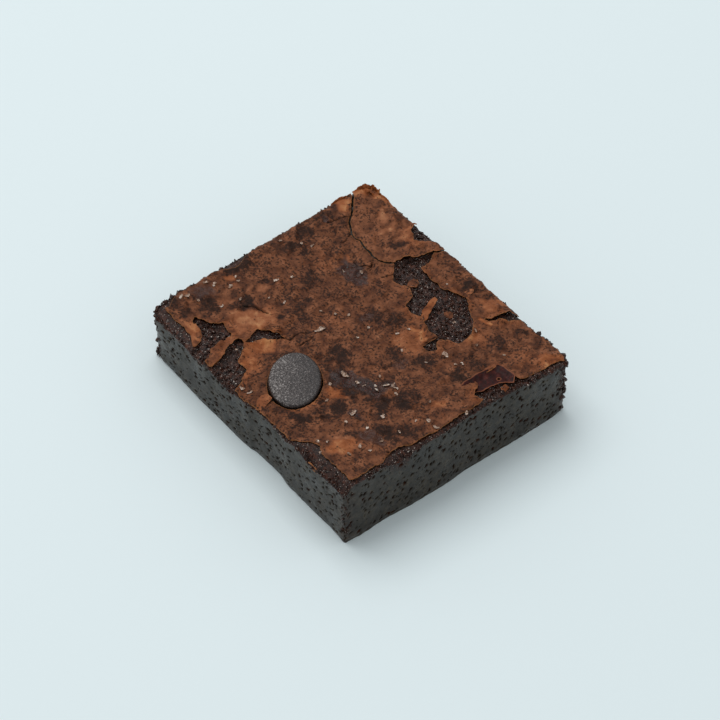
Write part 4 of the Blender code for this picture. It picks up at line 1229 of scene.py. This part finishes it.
# Grey bloom speckles; their lightest grey is also painted sheen and glints
bloom = node(
    tree, "ShaderNodeValToRGB", {"Fac": bloom_and_highlight}, stops=((0.38, "170e0c"), (0.54, "352a27"), (0.69, "9c9591"))
).outputs["Color"]
colour = node(
    tree, "ShaderNodeMix", {MIX_BY: face, MIX_FROM: shade("1d1412"), MIX_TO: bloom}, data_type="RGBA"
)
rough = node(
    tree, "ShaderNodeMapRange", {"Value": face, "To Min": 0.18, "To Max": 0.26}
).outputs["Result"]
bump_share = node(tree, "ShaderNodeMapRange", {"Value": face, "To Min": 0.1, "To Max": 0.9}).outputs["Result"]
relief = node(
    tree, "ShaderNodeBump", {"Height": speckle, "Strength": bump_share, "Distance": 0.22 * MM}
).outputs["Normal"]
for socket, source in (("Base Color", colour.outputs[MIXED]), ("Roughness", rough), ("Normal", relief)):
    tree.links.new(source, surface.inputs[socket])
surface.inputs["IOR"].default_value = 1.5

button_points, button_faces, button_facts = button_surface()
button = add_piece("chocolate_coin", button_points, button_faces, button_facts, chocolate)
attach(button, "root")
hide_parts("chocolate_button")

# ---------------------------------------------------------------------------------------------------------------
# Loose crumbs. Where the crust has torn and along the broken edges the crumb comes away in grains, which stay
# stuck by their own fat.
# ---------------------------------------------------------------------------------------------------------------
GRAIN_SIDES = 3  # points along each edge of the cube that a grain is swelled from
GROUND_TRIES = 9000  # places tried on the bare ground
EDGE_RUNS = (  # side, where on it from -1 to 1 the crumbs start and stop, how many, largest size
    ("south", -1.0, 1.0, 150, 0.5),
    ("south", 0.2, 1.0, 60, 0.55),
    ("east", -1.0, 1.0, 150, 0.5),
    ("north", -1.0, 1.0, 120, 0.45),
    ("west", -1.0, 1.0, 110, 0.6),
    ("east", 0.6, 1.0, 60, 0.8),
    ("west", -1.0, -0.6, 40, 0.7),
    ("north", 0.7, 1.0, 30, 0.8),
)
BROKEN_CORNERS = (  # side of the middle in x and in y, how many, largest size, lowest share of the height
    (1, 1, 64, 0.85, 0.25),
    (-1, -1, 46, 0.55, 0.05),
    (1, -1, 24, 0.4, 0.1),
)


def grain_shape():
    """Points and faces of one grain: a cube's six faces, each a small grid, swelled to a unit ball."""
    a, b = np.meshgrid(np.linspace(-1, 1, GRAIN_SIDES), np.linspace(-1, 1, GRAIN_SIDES), indexing="ij")
    one = np.ones(a.shape)
    sides = [(one, a, b), (-one, b, a), (b, one, a), (a, -one, b), (a, b, one), (b, a, -one)]
    points = np.concatenate([np.stack(side, axis=-1).reshape(-1, 3) for side in sides])
    faces = np.concatenate([quads(np.arange(a.size).reshape(a.shape) + k * a.size) for k in range(6)])
    points, which = np.unique(points.round(6), axis=0, return_inverse=True)
    points = np.tan(points * math.pi / 5)
    return points / np.linalg.norm(points, axis=1, keepdims=True), which.reshape(-1)[faces]


def many_grains(centres, sizes, draw):
    """Points and faces of one lumpy grain at each centre, each stretched, turned and dented its own way."""
    ball, faces = grain_shape()
    count = len(centres)
    stretch = draw.uniform(0.5, 1.4, (count, 1, 3))
    turn = np.linalg.qr(draw.normal(size=(count, 3, 3)))[0]
    turn *= np.sign(np.linalg.det(turn))[:, None, None]
    shift = draw.uniform(0, 60, (count, 1, 3))
    lumps = ball[None] * 1.3 + shift
    dent = 1.0 + 0.7 * crumple(lumps[..., 0], lumps[..., 1], lumps[..., 2], 0.9, seed=91)
    points = (ball[None] * dent[..., None] * stretch) @ turn * sizes[:, None, None] + centres[:, None]
    numbers = faces[None] + np.arange(count)[:, None, None] * len(ball)
    return points.reshape(-1, 3), numbers.reshape(-1, 4).tolist()


def edge_places(count, draw, side, start, stop):
    """Places along part of one side of the plan's outline, just inside it."""
    t = draw.uniform(start, stop, count)
    ends = dict(south=(t, -1.0), north=(t, 1.0), west=(-1.0, t), east=(1.0, t))[side]
    u, v = np.broadcast_arrays(*ends)
    inward = 1.0 - draw.uniform(0.0, 0.018, count)
    return plan(u * inward, v * inward)


draw = np.random.default_rng(92)
centres, sizes = [], []
for side, start, stop, count, largest in EDGE_RUNS:
    x, y = edge_places(count, draw, side, start, stop)
    z, _ = crumb_height(x, y)
    size = largest * draw.uniform(0.4, 1.0, count) ** 1.5
    centres.append(np.stack([x, y, z + 0.1 * size], axis=1))
    sizes.append(size)
x, y = draw.uniform(-40, 40, GROUND_TRIES), draw.uniform(-35, 35, GROUND_TRIES)
z, torn_here = crumb_height(x, y)
kept = (off_bare_ground(x, y) < 0.3) & (np.minimum.reduce(from_sides(x, y)) > 0.3) & (in_button_plan(x, y)[1] > 1.15)
kept |= (torn_here > 0.75) & (shoulder_share(x, y)[0] + shoulder_share(x, y)[1] > 0.3)
size = draw.uniform(0.14, 0.45, kept.sum())
centres.append(np.stack([x[kept], y[kept], z[kept] + 0.15 * size], axis=1))
sizes.append(size)
for side_x, side_y, count, largest, lowest in BROKEN_CORNERS:
    x, y = plan(np.full(count, side_x * 1.0), np.full(count, side_y * 1.0))
    share = draw.uniform(lowest, 1.0, count)
    z, _ = crumb_height(x, y)
    size = largest * draw.uniform(0.4, 1.0, count)
    spread = draw.uniform(-1.0, 1.0, (2, count))
    x = x - side_x * (0.15 + np.maximum(spread[0], 0.0) * 2.6)
    y = y - side_y * (0.15 + np.maximum(-spread[0], 0.0) * 2.6)
    centres.append(np.stack([x, y, z * share], axis=1))
    sizes.append(size)
centres, sizes = np.concatenate(centres), np.concatenate(sizes)
grain_points, grain_faces = many_grains(centres, sizes, draw)
grain_count = len(grain_points)
grain_facts = dict(torn=np.ones(grain_count), pit=np.zeros(grain_count), ruddy=np.full(grain_count, 0.3))
grains = add_piece("loose_crumbs", grain_points, grain_faces, grain_facts, fudge, sharp=80.0)
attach(grains, "root")

# ---------------------------------------------------------------------------------------------------------------
# Room: a pale, faintly blue tabletop with a soft window light from the far left and even light all round.
# ---------------------------------------------------------------------------------------------------------------
FLOOR_HALF = 1.5
FLOOR_DROP = 0.05 * MM
WINDOW_PLACE, WINDOW_SIZE, WINDOW_POWER = (-0.68, 0.0, 1.4), 1.2, 11.0
WALL_LIGHT = 0.66
LENS_LENGTH, SENSOR_WIDTH = 320.0, 36.0

floor_mesh = bpy.data.meshes.new("tabletop")
floor_mesh.from_pydata(
    [(x * FLOOR_HALF, y * FLOOR_HALF, -FLOOR_DROP) for x, y in ((-1, -1), (1, -1), (1, 1), (-1, 1))],
    [],
    [(0, 1, 2, 3)],
)
table, tree, surface, where = new_material("pale_glazed_tabletop")
surface.inputs["Base Color"].default_value = shade("e2edef")
surface.inputs["Roughness"].default_value = 0.55
surface.inputs["Specular IOR Level"].default_value = 0.2
floor_mesh.materials.append(table)
floor = bpy.data.objects.new("tabletop", floor_mesh)
bpy.context.collection.objects.link(floor)

world = bpy.data.worlds.new("white_room")
world.use_nodes = True
world.node_tree.nodes["Background"].inputs["Color"].default_value = shade("f4f8fa")
world.node_tree.nodes["Background"].inputs["Strength"].default_value = WALL_LIGHT
bpy.context.scene.world = world


def soft_light(name, place, aim, size, power):
    """A square soft light at a place, turned to face a point."""
    lamp = bpy.data.lights.new(name, "AREA")
    lamp.size = size
    lamp.energy = power
    fitting = bpy.data.objects.new(name, lamp)
    fitting.location = place
    fitting.rotation_euler = (Vector(aim) - Vector(place)).to_track_quat("-Z", "Y").to_euler()
    bpy.context.collection.objects.link(fitting)


soft_light("window_light", WINDOW_PLACE, (0, 0, 0.01), WINDOW_SIZE, WINDOW_POWER)

# Camera: a long lens from the front corner, 47 degrees above the table
CAMERA_AIM = Vector((-2.19, 2.63, 5.08)) * MM
CAMERA_FROM = Vector((848.5, -674.0, 1179.0)) * MM
lens = bpy.data.cameras.new("long_lens")
lens.sensor_width = SENSOR_WIDTH
lens.lens = LENS_LENGTH
lens.clip_start = 0.05
camera = bpy.data.objects.new("long_lens", lens)
camera.location = CAMERA_FROM
camera.rotation_euler = (CAMERA_AIM - CAMERA_FROM).to_track_quat("-Z", "Y").to_euler()
bpy.context.collection.objects.link(camera)
bpy.context.scene.camera = camera
bpy.context.scene.view_settings.view_transform = "Standard"
